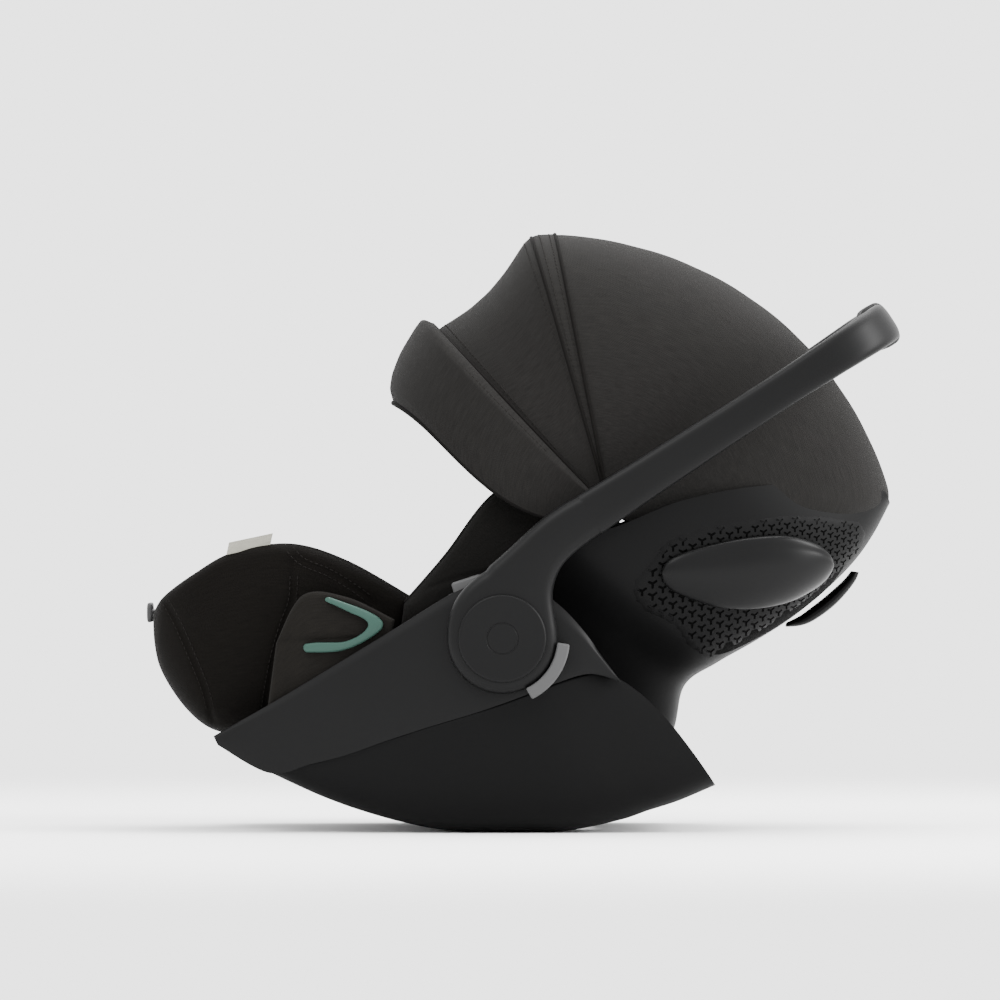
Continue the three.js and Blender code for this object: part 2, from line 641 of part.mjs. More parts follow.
// A point of the canopy: its angle about the axis, and its place over the arch from side to side.
function onCanopy(angle, over, radius, half, spread = 0) {
  const a = Math.PI * over
  const out = radius * Math.sin(a) ** archPower
  const y = -half * Math.sign(Math.cos(a)) * Math.abs(Math.cos(a)) ** archPower
  const turn = rad(angle + spread * (1 - out / radius))
  return [canopyAxis.x + out * Math.cos(turn), y, canopyAxis.z + out * Math.sin(turn)]
}
function canopyPanel(radii, from, to, columns, half, sheet, spread = () => 0) {
  const face = (offset) =>
    Array.from({ length: columns + 1 }, (_, i) => {
      const angle = lerp(from, to, i / columns)
      const radius = ramp(radii, angle) - offset
      return Array.from({ length: 19 }, (_, j) =>
        onCanopy(angle, lerp(archStart, 1 - archStart, j / 18), radius, half - offset, spread(angle)))
    })
  return plate(face(0), face(sheet))
}
const canopyNest = canopySheet + bowSheet + 3 * RUN // one panel and its bow fold outside the next
add('canopy_visor', canopyPanel(visorRadii, 134.2, 153.5, 5, canopyHalf + canopyNest, canopySheet,
  (angle) => 24 * Math.max(0, (angle - 134) / 19.5)), canopyFabric)
add('canopy_front_panel', canopyPanel(frontRadii, 101.6, 132.2, 8, canopyHalf, canopySheet), canopyFabric)
const rearHalf = canopyHalf - canopyNest
add('canopy_rear_panel', canopyPanel(rearRadii, 12, 100.6, 10, rearHalf, canopySheet), canopyFabric)

// The bows are thin arches under the front of each sheet, down to the pivots.
const bowUnder = canopySheet + 1.6
function bowArch(angle, radius, half) {
  const face = (offset) =>
    [-1, 0, 1].map((turn) => Array.from({ length: 25 }, (_, j) =>
      onCanopy(angle + 1.4 * turn, lerp(0.004, 0.996, j / 24), radius - offset, half - offset)))
  return plate(face(0), face(bowSheet))
}
const visorBowAngle = 137
const midBowAngle = 103.6
add('canopy_visor_bow', bowArch(visorBowAngle, ramp(visorRadii, visorBowAngle) - bowUnder,
  canopyHalf + canopyNest - bowUnder), steel)
add('canopy_mid_bow', bowArch(midBowAngle, frontRadii[0][1] - bowUnder,
  canopyHalf - bowUnder), steel)

for (const [hand, side] of sides) {
  const { half, foot, near, thick } = bracket
  const upright = box(canopyAxis.x - half, canopyAxis.x + half, near, near + thick, foot, canopyAxis.z)
  const shoeFar = shellHalf - shellWall - 4
  const shoe = box(canopyAxis.x - half, canopyAxis.x + half, near, shoeFar, foot, foot + 7)
  const eye = disc(canopyAxis.x, canopyAxis.z, half, near, near + thick, 1, 20)
  const body = joined(upright, shoe, eye)
  add(`canopy_pivot_${hand}`, side > 0 ? body : mirrored(body.scale(1, -1, 1)), darkPlastic)
}

export default seat
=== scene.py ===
"""Infant car seat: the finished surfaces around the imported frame.

Lengths are in millimetres until a mesh is made, where MM turns them into metres. +X runs to the head
end, -Y is the seat's left-hand side and +Z is up.
"""
import math

import bmesh
import bpy
import numpy as np
from mathutils import Matrix, Vector


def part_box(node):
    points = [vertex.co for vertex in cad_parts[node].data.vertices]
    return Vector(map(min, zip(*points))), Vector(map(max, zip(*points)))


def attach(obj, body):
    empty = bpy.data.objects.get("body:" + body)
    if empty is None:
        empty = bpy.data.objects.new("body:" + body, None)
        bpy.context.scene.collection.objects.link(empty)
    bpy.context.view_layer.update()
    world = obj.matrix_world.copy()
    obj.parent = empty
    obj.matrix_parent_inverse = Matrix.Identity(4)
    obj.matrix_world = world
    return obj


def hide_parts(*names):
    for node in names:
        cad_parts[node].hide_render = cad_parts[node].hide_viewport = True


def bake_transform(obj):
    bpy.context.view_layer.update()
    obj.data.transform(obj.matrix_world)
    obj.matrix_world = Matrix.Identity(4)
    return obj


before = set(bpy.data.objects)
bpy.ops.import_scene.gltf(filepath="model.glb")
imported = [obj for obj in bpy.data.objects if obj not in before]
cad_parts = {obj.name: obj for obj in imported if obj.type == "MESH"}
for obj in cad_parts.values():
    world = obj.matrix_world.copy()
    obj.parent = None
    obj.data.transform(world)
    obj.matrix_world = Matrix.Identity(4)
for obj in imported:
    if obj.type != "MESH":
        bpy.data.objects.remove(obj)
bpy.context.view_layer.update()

MM = 0.001
SIDES = (("left", -1), ("right", 1))


# ---- Camera and light ----------------------------------------------------------------------------

CAMERA_DISTANCE = 10.0
LOOK_AT_X, LOOK_AT_Z = -0.0189, 0.3013
VIEW_WIDTH = 0.92
SENSOR = 36.0


def aim(thing, target):
    """Turns an object so that its -Z looks at the target."""
    way = Vector(target) - thing.location
    thing.rotation_euler = way.to_track_quat("-Z", "Y").to_euler()


def make_camera():
    lens = bpy.data.cameras.new("camera")
    lens.sensor_width = SENSOR
    lens.lens = SENSOR * CAMERA_DISTANCE / VIEW_WIDTH
    lens.clip_end = 60.0
    camera = bpy.data.objects.new("camera", lens)
    camera.location = (LOOK_AT_X, -CAMERA_DISTANCE, LOOK_AT_Z)
    camera.rotation_euler = (math.radians(90), 0, 0)
    bpy.context.collection.objects.link(camera)
    bpy.context.scene.camera = camera


def make_light(name, place, target, size, power):
    light = bpy.data.lights.new(name, "AREA")
    light.shape = "RECTANGLE"
    light.size, light.size_y = size
    light.energy = power
    thing = bpy.data.objects.new(name, light)
    thing.location = place
    aim(thing, target)
    bpy.context.collection.objects.link(thing)


make_camera()
make_light("key", (-1.4, -1.8, 2.8), (0, 0, 0.25), (1.4, 1.4), 80)
make_light("top", (0.4, 0.5, 2.6), (0, 0, 0.2), (2.4, 1.8), 150)
make_light("rear", (2.6, -0.7, 1.5), (0.2, 0, 0.35), (0.8, 1.8), 190)
make_light("low rear", (2.2, -1.2, 0.35), (0.2, 0, 0.2), (0.5, 1.2), 12)
world = bpy.data.worlds.new("studio")
world.use_nodes = True
world.node_tree.nodes["Background"].inputs["Color"].default_value = (1, 1, 1, 1)
world.node_tree.nodes["Background"].inputs["Strength"].default_value = 3.0
bpy.context.scene.world = world


# ---- Numbers ------------------------------------------------------------------------------------

def along(stations, t):
    """Catmull-Rom curve through evenly placed stations, at the shares t of its length."""
    p = np.asarray(stations, float)
    if p.ndim == 1:
        return along(p[:, None], t)[..., 0]
    t = np.asarray(t, float)
    at = np.clip(t, 0, 1) * (len(p) - 1)
    i = np.minimum(np.floor(at).astype(int), len(p) - 2)
    f = (at - i)[..., None]
    a, b, c, d = (p[np.clip(i + k, 0, len(p) - 1)] for k in (-1, 0, 1, 2))
    return b + 0.5 * f * (c - a + f * (2 * a - 5 * b + 4 * c - d + f * (3 * (b - c) + d - a)))


def ramp(pairs, x):
    """Straight lines between [position, value] pairs."""
    p = np.asarray(pairs, float)
    return np.interp(x, p[:, 0], p[:, 1])


def smooth(low, high, x):
    """Runs from 0 at low to 1 at high, level at both ends."""
    t = np.clip((np.asarray(x, float) - low) / (high - low), 0, 1)
    return t * t * (3 - 2 * t)


def signed_power(wave, power):
    """A wave raised to a power with its sign kept: the sides of a superellipse."""
    return np.sign(wave) * np.abs(wave) ** power


def bump(x, middle, width):
    """A bell curve of height 1."""
    return np.exp(-((np.asarray(x, float) - middle) / width) ** 2)


def pillow(u, v, power=0.5):
    """1 in the middle of a field, 0 round its edge."""
    return (np.clip(4 * u * (1 - u), 0, 1) * np.clip(4 * v * (1 - v), 0, 1)) ** power


# ---- Meshes -------------------------------------------------------------------------------------

def grid_faces(rows, columns, wrap_columns=False):
    """The quads of a grid, as an array of four corner numbers each."""
    i = np.arange(rows - 1)
    j = np.arange(columns if wrap_columns else columns - 1)
    i, j = np.meshgrid(i, j, indexing="ij")
    i2, j2 = i + 1, (j + 1) % columns
    quads = np.stack([i * columns + j, i2 * columns + j, i2 * columns + j2, i * columns + j2], -1)
    return quads.reshape(-1, 4)


def make_mesh(name, points, faces, uv=None, sharp=40):
    """An object from millimetre points and faces; uv gives each point's place in metres."""
    mesh = bpy.data.meshes.new(name)
    mesh.from_pydata((np.asarray(points, float).reshape(-1, 3) * MM).tolist(), [], [list(f) for f in faces])
    mesh.validate()
    if uv is not None:
        layer = mesh.uv_layers.new(name="cloth")
        corners = np.empty(len(mesh.loops), np.int32)
        mesh.loops.foreach_get("vertex_index", corners)
        layer.data.foreach_set("uv", (np.asarray(uv, float).reshape(-1, 2)[corners] * MM).ravel())
    mesh.shade_smooth()
    if sharp:
        mesh.set_sharp_from_angle(angle=math.radians(sharp))
    thing = bpy.data.objects.new(name, mesh)
    bpy.context.collection.objects.link(thing)
    return thing


def grid_uv(points):
    """Lengths along the two directions of a grid, so that a weave keeps its scale."""
    du = np.linalg.norm(np.diff(points, axis=0), axis=-1).mean(axis=1)
    dv = np.linalg.norm(np.diff(points, axis=1), axis=-1).mean(axis=0)
    u = np.concatenate([[0], np.cumsum(du)])
    v = np.concatenate([[0], np.cumsum(dv)])
    return np.stack(np.meshgrid(u, v, indexing="ij"), -1)


def fix_outward(thing, merge=0.0):
    """Merges points closer than merge millimetres, and turns all faces outwards."""
    work = bmesh.new()
    work.from_mesh(thing.data)
    if merge:
        bmesh.ops.remove_doubles(work, verts=work.verts, dist=merge * MM)
    bmesh.ops.recalc_face_normals(work, faces=work.faces)
    work.to_mesh(thing.data)
    work.free()
    return thing


def face_side(thing, side, merge=0.0):
    """Turns an open sheet's faces to one side of the seat, after merging near points."""
    work = bmesh.new()
    work.from_mesh(thing.data)
    if merge:
        bmesh.ops.remove_doubles(work, verts=work.verts, dist=merge * MM)
    work.normal_update()
    if sum(f.normal.y * side for f in work.faces) < 0:
        bmesh.ops.reverse_faces(work, faces=work.faces)
    work.to_mesh(thing.data)
    work.free()


def plate(name, outer, inner, bevel=0.0, sharp=40):
    """A closed wall between two grids of points: both skins and the edge all round."""
    rows, columns = outer.shape[:2]
    count = rows * columns
    skin = grid_faces(rows, columns)
    low, high = np.arange(columns), (rows - 1) * columns + np.arange(columns)
    left, right = np.arange(rows) * columns, np.arange(rows) * columns + columns - 1
    rim = [np.stack([e[:-1], e[1:], e[1:] + count, e[:-1] + count], -1) for e in (low, high, left, right)]
    faces = np.concatenate([skin, skin[:, ::-1] + count, *rim])
    uv = np.concatenate([grid_uv(outer).reshape(-1, 2), grid_uv(inner).reshape(-1, 2)])
    thing = make_mesh(name, np.concatenate([outer.reshape(-1, 3), inner.reshape(-1, 3)]), faces, uv, sharp)
    fix_outward(thing)
    if bevel:
        round_edges(thing, bevel)
    return thing


def round_edges(thing, width, segments=2):
    edge = thing.modifiers.new("edge", "BEVEL")
    edge.width = width * MM
    edge.segments = segments
    edge.limit_method = "ANGLE"
    edge.angle_limit = math.radians(42)
    edge.harden_normals = False
    return thing


def subdivide(thing):
    smoothing = thing.modifiers.new("smooth", "SUBSURF")
    smoothing.levels = smoothing.render_levels = 1
    return thing


def loft(name, rings, sharp=40):
    """A skin through rings of points, count x points x 3, with flat ends."""
    rings = np.asarray(rings, float)
    rows, columns = rings.shape[:2]
    faces = [list(f) for f in grid_faces(rows, columns, wrap_columns=True)]
    faces += [list(range(columns)), list(range((rows - 1) * columns, rows * columns))[::-1]]
    thing = make_mesh(name, rings, faces, grid_uv(rings), sharp)
    return fix_outward(thing)


def tube(name, path, radius, sides=10):
    """A round bar along a path. Its section turns as little as it can from point to point."""
    path = np.asarray(path, float)
    tangent = np.gradient(path, axis=0)
    tangent /= np.linalg.norm(tangent, axis=1, keepdims=True)
    side = np.cross(tangent[0], (0.3, 0.9, 0.2) if abs(tangent[0][1]) < 0.8 else (1, 0, 0))
    across = []
    for way in tangent:
        side = side - way * side.dot(way)
        side = side / np.linalg.norm(side)
        across.append(side)
    across = np.array(across)
    up = np.cross(tangent, across)
    a = np.linspace(0, 2 * np.pi, sides, endpoint=False)
    ring = across[:, None] * np.cos(a)[None, :, None] + up[:, None] * np.sin(a)[None, :, None]
    return loft(name, path[:, None] + ring * radius, sharp=60)


def revolve(name, profile, centre, side, count=72, sharp=30):
    """A turned piece about an axis along Y: profile points are [radius, distance out from centre]."""
    profile = np.asarray(profile, float)
    a = np.linspace(0, 2 * np.pi, count, endpoint=False)
    r, y = profile[:, 0][:, None], profile[:, 1][:, None]
    ones = np.ones_like(a)[None]
    ring = np.stack([centre[0] + r * np.cos(a), side * (centre[1] + y * ones), centre[2] + r * np.sin(a)],
                    -1)
    faces = grid_faces(len(profile), count, wrap_columns=True)
    thing = make_mesh(name, ring, faces, grid_uv(ring), sharp)
    fix_outward(thing, merge=0.01)
    thing.data.shade_smooth()
    thing.data.set_sharp_from_angle(angle=math.radians(sharp))
    return thing


def side_prism(name, outline, near, far, side, bevel=1.0, sharp=40):
    """An outline in the X-Z plane given a thickness along Y, with rounded edges."""
    outline = np.asarray(outline, float)
    rings = [np.stack([outline[:, 0], np.full(len(outline), side * y), outline[:, 1]], -1) for y in (near,
                                                                                                     far)]
    thing = loft(name, rings, sharp=sharp)
    if bevel:
        round_edges(thing, bevel, 3)
    return thing


def arc(x, z, radius, start, end, count):
    a = np.radians(np.linspace(start, end, count))
    return np.stack([x + radius * np.cos(a), z + radius * np.sin(a)], -1)


# ---- Materials ----------------------------------------------------------------------------------

def node_group(name, inputs, outputs):
    group = bpy.data.node_groups.new(name, "ShaderNodeTree")
    for socket, kind, value in inputs:
        made = group.interface.new_socket(name=socket, in_out="INPUT", socket_type=kind)
        if value is not None:
            made.default_value = value
    for socket, kind in outputs:
        group.interface.new_socket(name=socket, in_out="OUTPUT", socket_type=kind)
    return group, group.nodes.new("NodeGroupInput"), group.nodes.new("NodeGroupOutput")


def put(tree, kind, links=(), **settings):
    """Adds a node, sets its properties or input values, and links its inputs."""
    node = tree.nodes.new(kind)
    for key, value in settings.items():
        if hasattr(node, key):
            setattr(node, key, value)
        else:
            node.inputs[key].default_value = value
    for socket, source in dict(links).items():
        tree.links.new(source, node.inputs[socket])
    return node


def maths(tree, operation, *values):
    """A Math node whose inputs are sockets or plain numbers."""
    node = tree.nodes.new("ShaderNodeMath")
    node.operation = operation
    for i, value in enumerate(values):
        if isinstance(value, (int, float)):
            node.inputs[i].default_value = value
        else:
            tree.links.new(value, node.inputs[i])
    return node.outputs[0]


def make_grain():
    """Moulded plastic: a fine even grain, with a slow drift in shade."""
    group, given, result = node_group(
        "moulded grain",
        [("Grain Size", "NodeSocketFloat", 900.0)],
        [("Height", "NodeSocketFloat"), ("Shade", "NodeSocketFloat")])
    place = put(group, "ShaderNodeTexCoord").outputs["Object"]
    fine = put(group, "ShaderNodeTexNoise", {"Vector": place, "Scale": given.outputs["Grain Size"]},
               Detail=2.0)
    slow = put(group, "ShaderNodeTexNoise", {"Vector": place}, Scale=7.0, Detail=3.0)
    group.links.new(fine.outputs["Fac"], result.inputs["Height"])
    group.links.new(slow.outputs["Fac"], result.inputs["Shade"])
    return group


def make_weave():
    """Plain weave: crossing threads that go over and under each other in turn, with slubs."""
    group, given, result = node_group(
        "plain weave",
        [("Threads", "NodeSocketFloat", 900.0)],
        [("Height", "NodeSocketFloat"), ("Shade", "NodeSocketFloat")])
    place = put(group, "ShaderNodeUVMap", uv_map="cloth").outputs["UV"]
    parts = put(group, "ShaderNodeSeparateXYZ", {"Vector": place})
    u = maths(group, "MULTIPLY", parts.outputs["X"], given.outputs["Threads"])
    v = maths(group, "MULTIPLY", parts.outputs["Y"], given.outputs["Threads"])
    warp = maths(group, "ABSOLUTE", maths(group, "SINE", maths(group, "MULTIPLY", u, math.pi)))
    weft = maths(group, "ABSOLUTE", maths(group, "SINE", maths(group, "MULTIPLY", v, math.pi)))
    checker = maths(group, "ADD", maths(group, "FLOOR", u), maths(group, "FLOOR", v))
    over = maths(group, "ABSOLUTE", maths(group, "MODULO", checker, 2.0))
    under = maths(group, "SUBTRACT", 1.0, over)
    height = maths(group, "ADD", maths(group, "MULTIPLY", warp, over),
                   maths(group, "MULTIPLY", weft, under))
    scaled = put(group, "ShaderNodeMapping", {"Vector": place}, vector_type="POINT")
    scaled.inputs["Scale"].default_value = (60, 900, 1)
    slub = put(group, "ShaderNodeTexNoise", {"Vector": scaled.outputs["Vector"]}, Scale=1.0, Detail=3.0)
    # Thread tops are made lighter and the hollows between threads darker. This is painted light and shade,
    # laid over the slub tone.
    lit = maths(group, "ADD", maths(group, "MULTIPLY", height, 0.4), 0.7)
    shade = maths(group, "MULTIPLY", slub.outputs["Fac"], lit)
    group.links.new(height, result.inputs["Height"])
    group.links.new(shade, result.inputs["Shade"])
    return group


def make_knit():
    """Soft jersey: fine knit dimples with heathered flecks, on Object coordinates."""
    group, given, result = node_group(
        "soft jersey",
        [("Stitch", "NodeSocketFloat", 620.0)],
        [("Height", "NodeSocketFloat"), ("Shade", "NodeSocketFloat")])
    place = put(group, "ShaderNodeTexCoord").outputs["Object"]
    cells = put(group, "ShaderNodeTexVoronoi", {"Vector": place, "Scale": given.outputs["Stitch"]})
    fleck = put(group, "ShaderNodeTexNoise", {"Vector": place}, Scale=340.0, Detail=4.0, Roughness=0.8)
    group.links.new(cells.outputs["Distance"], result.inputs["Height"])
    group.links.new(fleck.outputs["Fac"], result.inputs["Shade"])
    return group


GRAIN, WEAVE, KNIT = make_grain(), make_weave(), make_knit()


def shade_of(color, factor):
    return (*[min(1.0, c * factor) for c in color], 1.0)


def finish_material(name, group, values, color, spread, rough, bump_height, bump_strength, **surface):
    """A Principled surface whose colour and roughness vary with a group's Shade, over a bump."""
    material = bpy.data.materials.new(name)
    material.use_nodes = True
    tree = material.node_tree
    tree.nodes.clear()
    pattern = put(tree, "ShaderNodeGroup", node_tree=group)
    for key, value in values.items():
        pattern.inputs[key].default_value = value
    tint = put(tree, "ShaderNodeMapRange", {"Value": pattern.outputs["Shade"]})
    tint.inputs["From Min"].default_value, tint.inputs["From Max"].default_value = 0.3, 0.7
    mix = tree.nodes.new("ShaderNodeMix")
    mix.data_type = "RGBA"
    tree.links.new(tint.outputs["Result"], mix.inputs[0])
    low_color, high_color = mix.inputs[6], mix.inputs[7]
    low_color.default_value = shade_of(color, 1 - spread)
    high_color.default_value = shade_of(color, 1 + spread)
    gloss = put(tree, "ShaderNodeMapRange", {"Value": pattern.outputs["Shade"]})
    gloss.inputs["To Min"].default_value, gloss.inputs["To Max"].default_value = rough
    relief = put(tree, "ShaderNodeBump", {"Height": pattern.outputs["Height"]},
                 Strength=bump_strength, Distance=bump_height * MM)
    shader = put(tree, "ShaderNodeBsdfPrincipled", {
        "Base Color": mix.outputs[2], "Roughness": gloss.outputs["Result"],
        "Normal": relief.outputs["Normal"]})
    for key, value in surface.items():
        shader.inputs[key.replace("_", " ")].default_value = value
    output = put(tree, "ShaderNodeOutputMaterial")
    tree.links.new(shader.outputs["BSDF"], output.inputs["Surface"])
    return material


def plastic(name, color, rough=(0.36, 0.5), grain=900.0, height=0.05, strength=0.5, **surface):
    surface.setdefault("Specular_IOR_Level", 0.08)
    return finish_material(name, GRAIN, {"Grain Size": grain}, color, 0.08, rough, height, strength,
                           **surface)


def woven(name, color, threads=900.0, height=0.25, spread=0.22, **surface):
    surface.setdefault("Specular_IOR_Level", 0.03)
    return finish_material(name, WEAVE, {"Threads": threads}, color, spread, (0.78, 0.95), height, 0.6,
                           **surface)


def jersey(name, color, stitch=620.0, **surface):
    surface.setdefault("Specular_IOR_Level", 0.03)
    return finish_material(name, KNIT, {"Stitch": stitch}, color, 0.2, (0.82, 0.97), 0.3, 0.5, **surface)


SHELL = plastic("shell plastic", (0.0028, 0.0028, 0.00288))
# A darker copy of the shell plastic. The darkening is painted shade for the back shell, which lies in the
# shadow under the handle arm. The vent grille shares it.
BACK_SHADED_PLASTIC = plastic("back shell plastic with painted shade", (0.0021, 0.0021, 0.00216), rough=(0.52, 0.64), Specular_IOR_Level=0.06)
# The rocker is the lower part of the side panels' moulding, in the same plastic. Its darker colour is painted
# shade for the underside that faces the floor.
ROCKER_SHADED_PLASTIC = plastic("rocker plastic with painted shade", (0.0016, 0.0016, 0.00165), rough=(0.52, 0.66), Specular_IOR_Level=0.06)
HUB_FINISH = plastic("hub plastic", (0.0026, 0.0026, 0.00268), rough=(0.36, 0.48))
DARK = plastic("dark plastic", (0.0015, 0.0015, 0.00155), rough=(0.45, 0.6), Specular_IOR_Level=0.06)
POD = plastic("pod plastic", (0.0026, 0.0026, 0.00268), rough=(0.28, 0.4), grain=1400.0, height=0.02)
GREY = plastic("grey button plastic", (0.046, 0.046, 0.0465), rough=(0.3, 0.4), grain=1500.0, height=0.02)
SLATE = plastic("slate plastic", (0.036, 0.036, 0.0365), rough=(0.34, 0.44), grain=1200.0, height=0.03)
TEAL = plastic("teal guide plastic", (0.021, 0.047, 0.038), rough=(0.3, 0.42), grain=1500.0, height=0.02)
RED = plastic("red button plastic", (0.16, 0.008, 0.005), rough=(0.28, 0.36), grain=1500.0, height=0.02)
GRIP = plastic("grip covering", (0.0045, 0.0045, 0.0047), rough=(0.55, 0.7), grain=650.0, height=0.18,
               strength=0.9)
STEEL = plastic("zinc plated steel", (0.30, 0.30, 0.295), rough=(0.24, 0.42), grain=240.0, height=0.01,
                Metallic=1.0)
SEAT_CLOTH = woven("seat cloth", (0.0032, 0.0028, 0.0024), threads=1000.0, Sheen_Weight=0.008,
                   Sheen_Roughness=0.5)
WING_CLOTH = woven("wing cloth", (0.0040, 0.0038, 0.0035), threads=1000.0, Sheen_Weight=0.008,
                   Sheen_Roughness=0.5)
CANOPY_CLOTH = woven("canopy cloth", (0.0085, 0.0081, 0.0077), threads=850.0, Sheen_Weight=0.012,
                     Sheen_Roughness=0.5)
INLAY = jersey("inlay jersey", (0.0095, 0.0090, 0.0084), Sheen_Weight=0.02, Sheen_Roughness=0.5)
PIPING = jersey("piping", (0.0040, 0.0037, 0.0035), stitch=1100.0)
THREAD = jersey("sewing thread", (0.0095, 0.0088, 0.0082), stitch=2400.0)
WEBBING = woven("harness webbing", (0.0045, 0.0045, 0.0045), threads=560.0, height=0.5, Sheen_Weight=0.02)
LABEL = woven("label tape", (0.21, 0.205, 0.175), threads=1300.0, height=0.12, spread=0.08)
TRIM = woven("guide trim cloth", (0.0066, 0.0060, 0.0053), threads=800.0, Sheen_Weight=0.012)
# Near-black knit laid under the vent field so that the holes show dark: painted shade inside the vent holes.
VENT_SHADE = jersey("vent hole shade", (0.0006, 0.0006, 0.0006), stitch=900.0)


def dress(thing, material, body, slot, *nodes):
    """Gives a piece its material, the body it rides on and the CAD nodes it stands for. The slot argument is
    not used.
    """
    thing.data.materials.clear()
    thing.data.materials.append(material)
    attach(thing, body)
    if nodes:
        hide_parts(*nodes)
    return thing


# ---- Sizes that the CAD parts share -------------------------------------------------------------

def corners(node):
    """A CAD node's lowest and highest corners in millimetres."""
    low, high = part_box(node)
    return np.array(low) / MM, np.array(high) / MM


cap_low, cap_high = corners("hub_cap_left")
HUB = (0.5 * (cap_low[0] + cap_high[0]), 0.5 * (cap_low[2] + cap_high[2]))
CAP_RADIUS = 0.5 * (cap_high[0] - cap_low[0])
HUB_RADIUS = 50.0
CAP_FACE = -cap_low[1]
root_low, root_high = corners("handle_root_left")
ARM_NEAR, ARM_FAR = -root_high[1], -root_low[1]
PANEL_HALF = -corners("side_panel_left")[0][1]
SHELL_HALF = -corners("back_shell")[0][1]
CANOPY_AXIS = (80.5, 292.0)
CANOPY_HALF = -corners("canopy_front_panel")[0][1]

ROCKER_WALL, PANEL_WALL, TUB_WALL, SHELL_WALL = 4.5, 4.2, 3.6, 3.6
COVER_WALL = 17.0
PANEL_INSET = [(-279, 60), (-225, 43), (-160, 23), (-100, 9), (-50, 3), (0, 0), (45, 0), (100, 8),
               (177, 26)]
ROCKER_LOW = [
    (-228, 53.5), (-204, 42), (-179, 31), (-147, 19.5), (-108, 8.6), (-66, 1.2), (-10, 0), (42, 0.9),
    (90, 10.4),
    (116, 19), (144, 28), (177, 42)]
ROCKER_CREASE = [
    (-221, 56), (-190, 62), (-158, 71), (-120, 84.5), (-82, 97), (-41, 109), (-5, 121.5), (22, 132),
    (42, 139), (57, 143), (71, 145)]
PANEL_TOP = [
    (-279, 87), (-216, 123), (-160, 157), (-110, 187.5), (-60, 218), (-30, 227), (5, 226), (34, 207),
    (57, 183), (72, 162), (86, 143)]
PANEL_LOW = [
    (-275, 82), (-228, 57), (-190, 65.3), (-158, 73.8), (-120, 87.3), (-82, 99.8), (-41, 112.2),
    (-5, 124.8), (30, 138.4), (62, 147.4), (90, 140.4)]
SHELL_RIM = [
    (40, 152), (20, 176), (24, 222), (45, 262), (91, 279), (143, 300), (200, 312), (252, 316.5),
    (296, 315), (333, 309)]
SHELL_BACK = [
    (103.4, 52.3), (138, 86), (150, 131), (179, 152), (214, 172), (247, 193), (279, 219), (305, 245),
    (323, 270), (338, 298)]
NECK_HALF = 122.0
SHELL_HALVES = [NECK_HALF, NECK_HALF, NECK_HALF + 22] + [SHELL_HALF - d for d in (6, 0, 2, 12, 34, 66, 104)]
LEG_RIM = [(-336, 197), (-326, 213), (-298, 234), (-262, 254), (-212, 261), (-160, 245), (-100, 211)]
LEG_LOW = [(-337, 184), (-330, 147), (-305, 109), (-274, 88), (-236, 92), (-188, 102), (-130, 116)]
LEG_HALVES = [68, 94, 114, 122, 125, 126, 126]


def panel_width(x):
    """Half width of the side panels' outer face along the seat."""
    x = np.asarray(x, float)
    near = sum(ramp(PANEL_INSET, x + d) for d in (-16, -8, 0, 8, 16)) / 5
    return PANEL_HALF - near


def trough(rim, low, half, columns, rows, inset=0.0, start=0.0, end=1.0, flat=0.35):
    """A bucket lying along X: each section is a half superellipse hung from the rim line, as wide as
    half and as deep as the low line, drawn in by inset. flat sets how square its sides are."""
    t = np.linspace(start, end, rows)[:, None]
    a = np.linspace(-1, 1, columns)
    a = signed_power(a, 1.15) * (np.pi / 2)
    depth = np.cos(a)[None]
    wide = signed_power(np.sin(a), flat)[None]
    top, bottom = along(rim, t[:, 0])[:, None], along(low, t[:, 0])[:, None]
    reach = np.linalg.norm(bottom - top, axis=-1)
    share = depth * (reach - inset) / reach
    x = top[..., 0] + (bottom[..., 0] - top[..., 0]) * share
    z = top[..., 1] + (bottom[..., 1] - top[..., 1]) * share
    y = (along(half, t[:, 0])[:, None] - inset) * wide
    return np.stack([x, y, z], -1)


# ---- Carrier: rocker, panels, tub ---------------------------------------------------------------

def make_rocker():
    """The lower moulding. Each section runs from the crease under a side panel, down a cheek that
    leans in, round a soft corner and flat across the floor: points of a rounded polygon."""
    t = np.linspace(0, 1, 121)
    crease, low = along(ROCKER_CREASE, t), along(ROCKER_LOW, t)
    low[:, 1] = np.maximum(low[:, 1], 0.0)
    half = np.minimum(panel_width(crease[:, 0]), panel_width(0.5 * (crease[:, 0] + low[:, 0]))) - 1.5
    section = np.array([
        (0.972, -0.06), (0.978, -0.01), (1, 0.005), (0.997, 0.06), (0.985, 0.3), (0.955, 0.6),
        (0.91, 0.82), (0.83, 0.95), (0.66, 1), (0.33, 1), (0, 1)])
    s = np.linspace(0, 1, 44)
    side = along(section, s)
    side[:, 1] = np.clip(side[:, 1], -0.06, 1)
    profile = np.concatenate([side, side[-2::-1] * (-1, 1)])

    def skin(inset):
        way = low - crease
        depth = np.linalg.norm(way, axis=1)
        reach = (1 - inset / np.maximum(depth, inset + 1))[:, None, None]
        point = crease[:, None] + way[:, None] * profile[None, :, 1:] * reach
        down = np.clip(profile[None, :, 1], 0, 1)
        bow = 13 * smooth(0.82, 1.0, t)[:, None] * np.sin(np.pi * down ** 0.7) ** 0.9
        point = point + bow[..., None] * (0.70, 0.71)
        y = (half - inset)[:, None] * profile[None, :, 0]
        return np.stack([point[..., 0], y, point[..., 1]], -1)

    return plate("rocker", skin(0), skin(ROCKER_WALL), bevel=1.2, sharp=50)


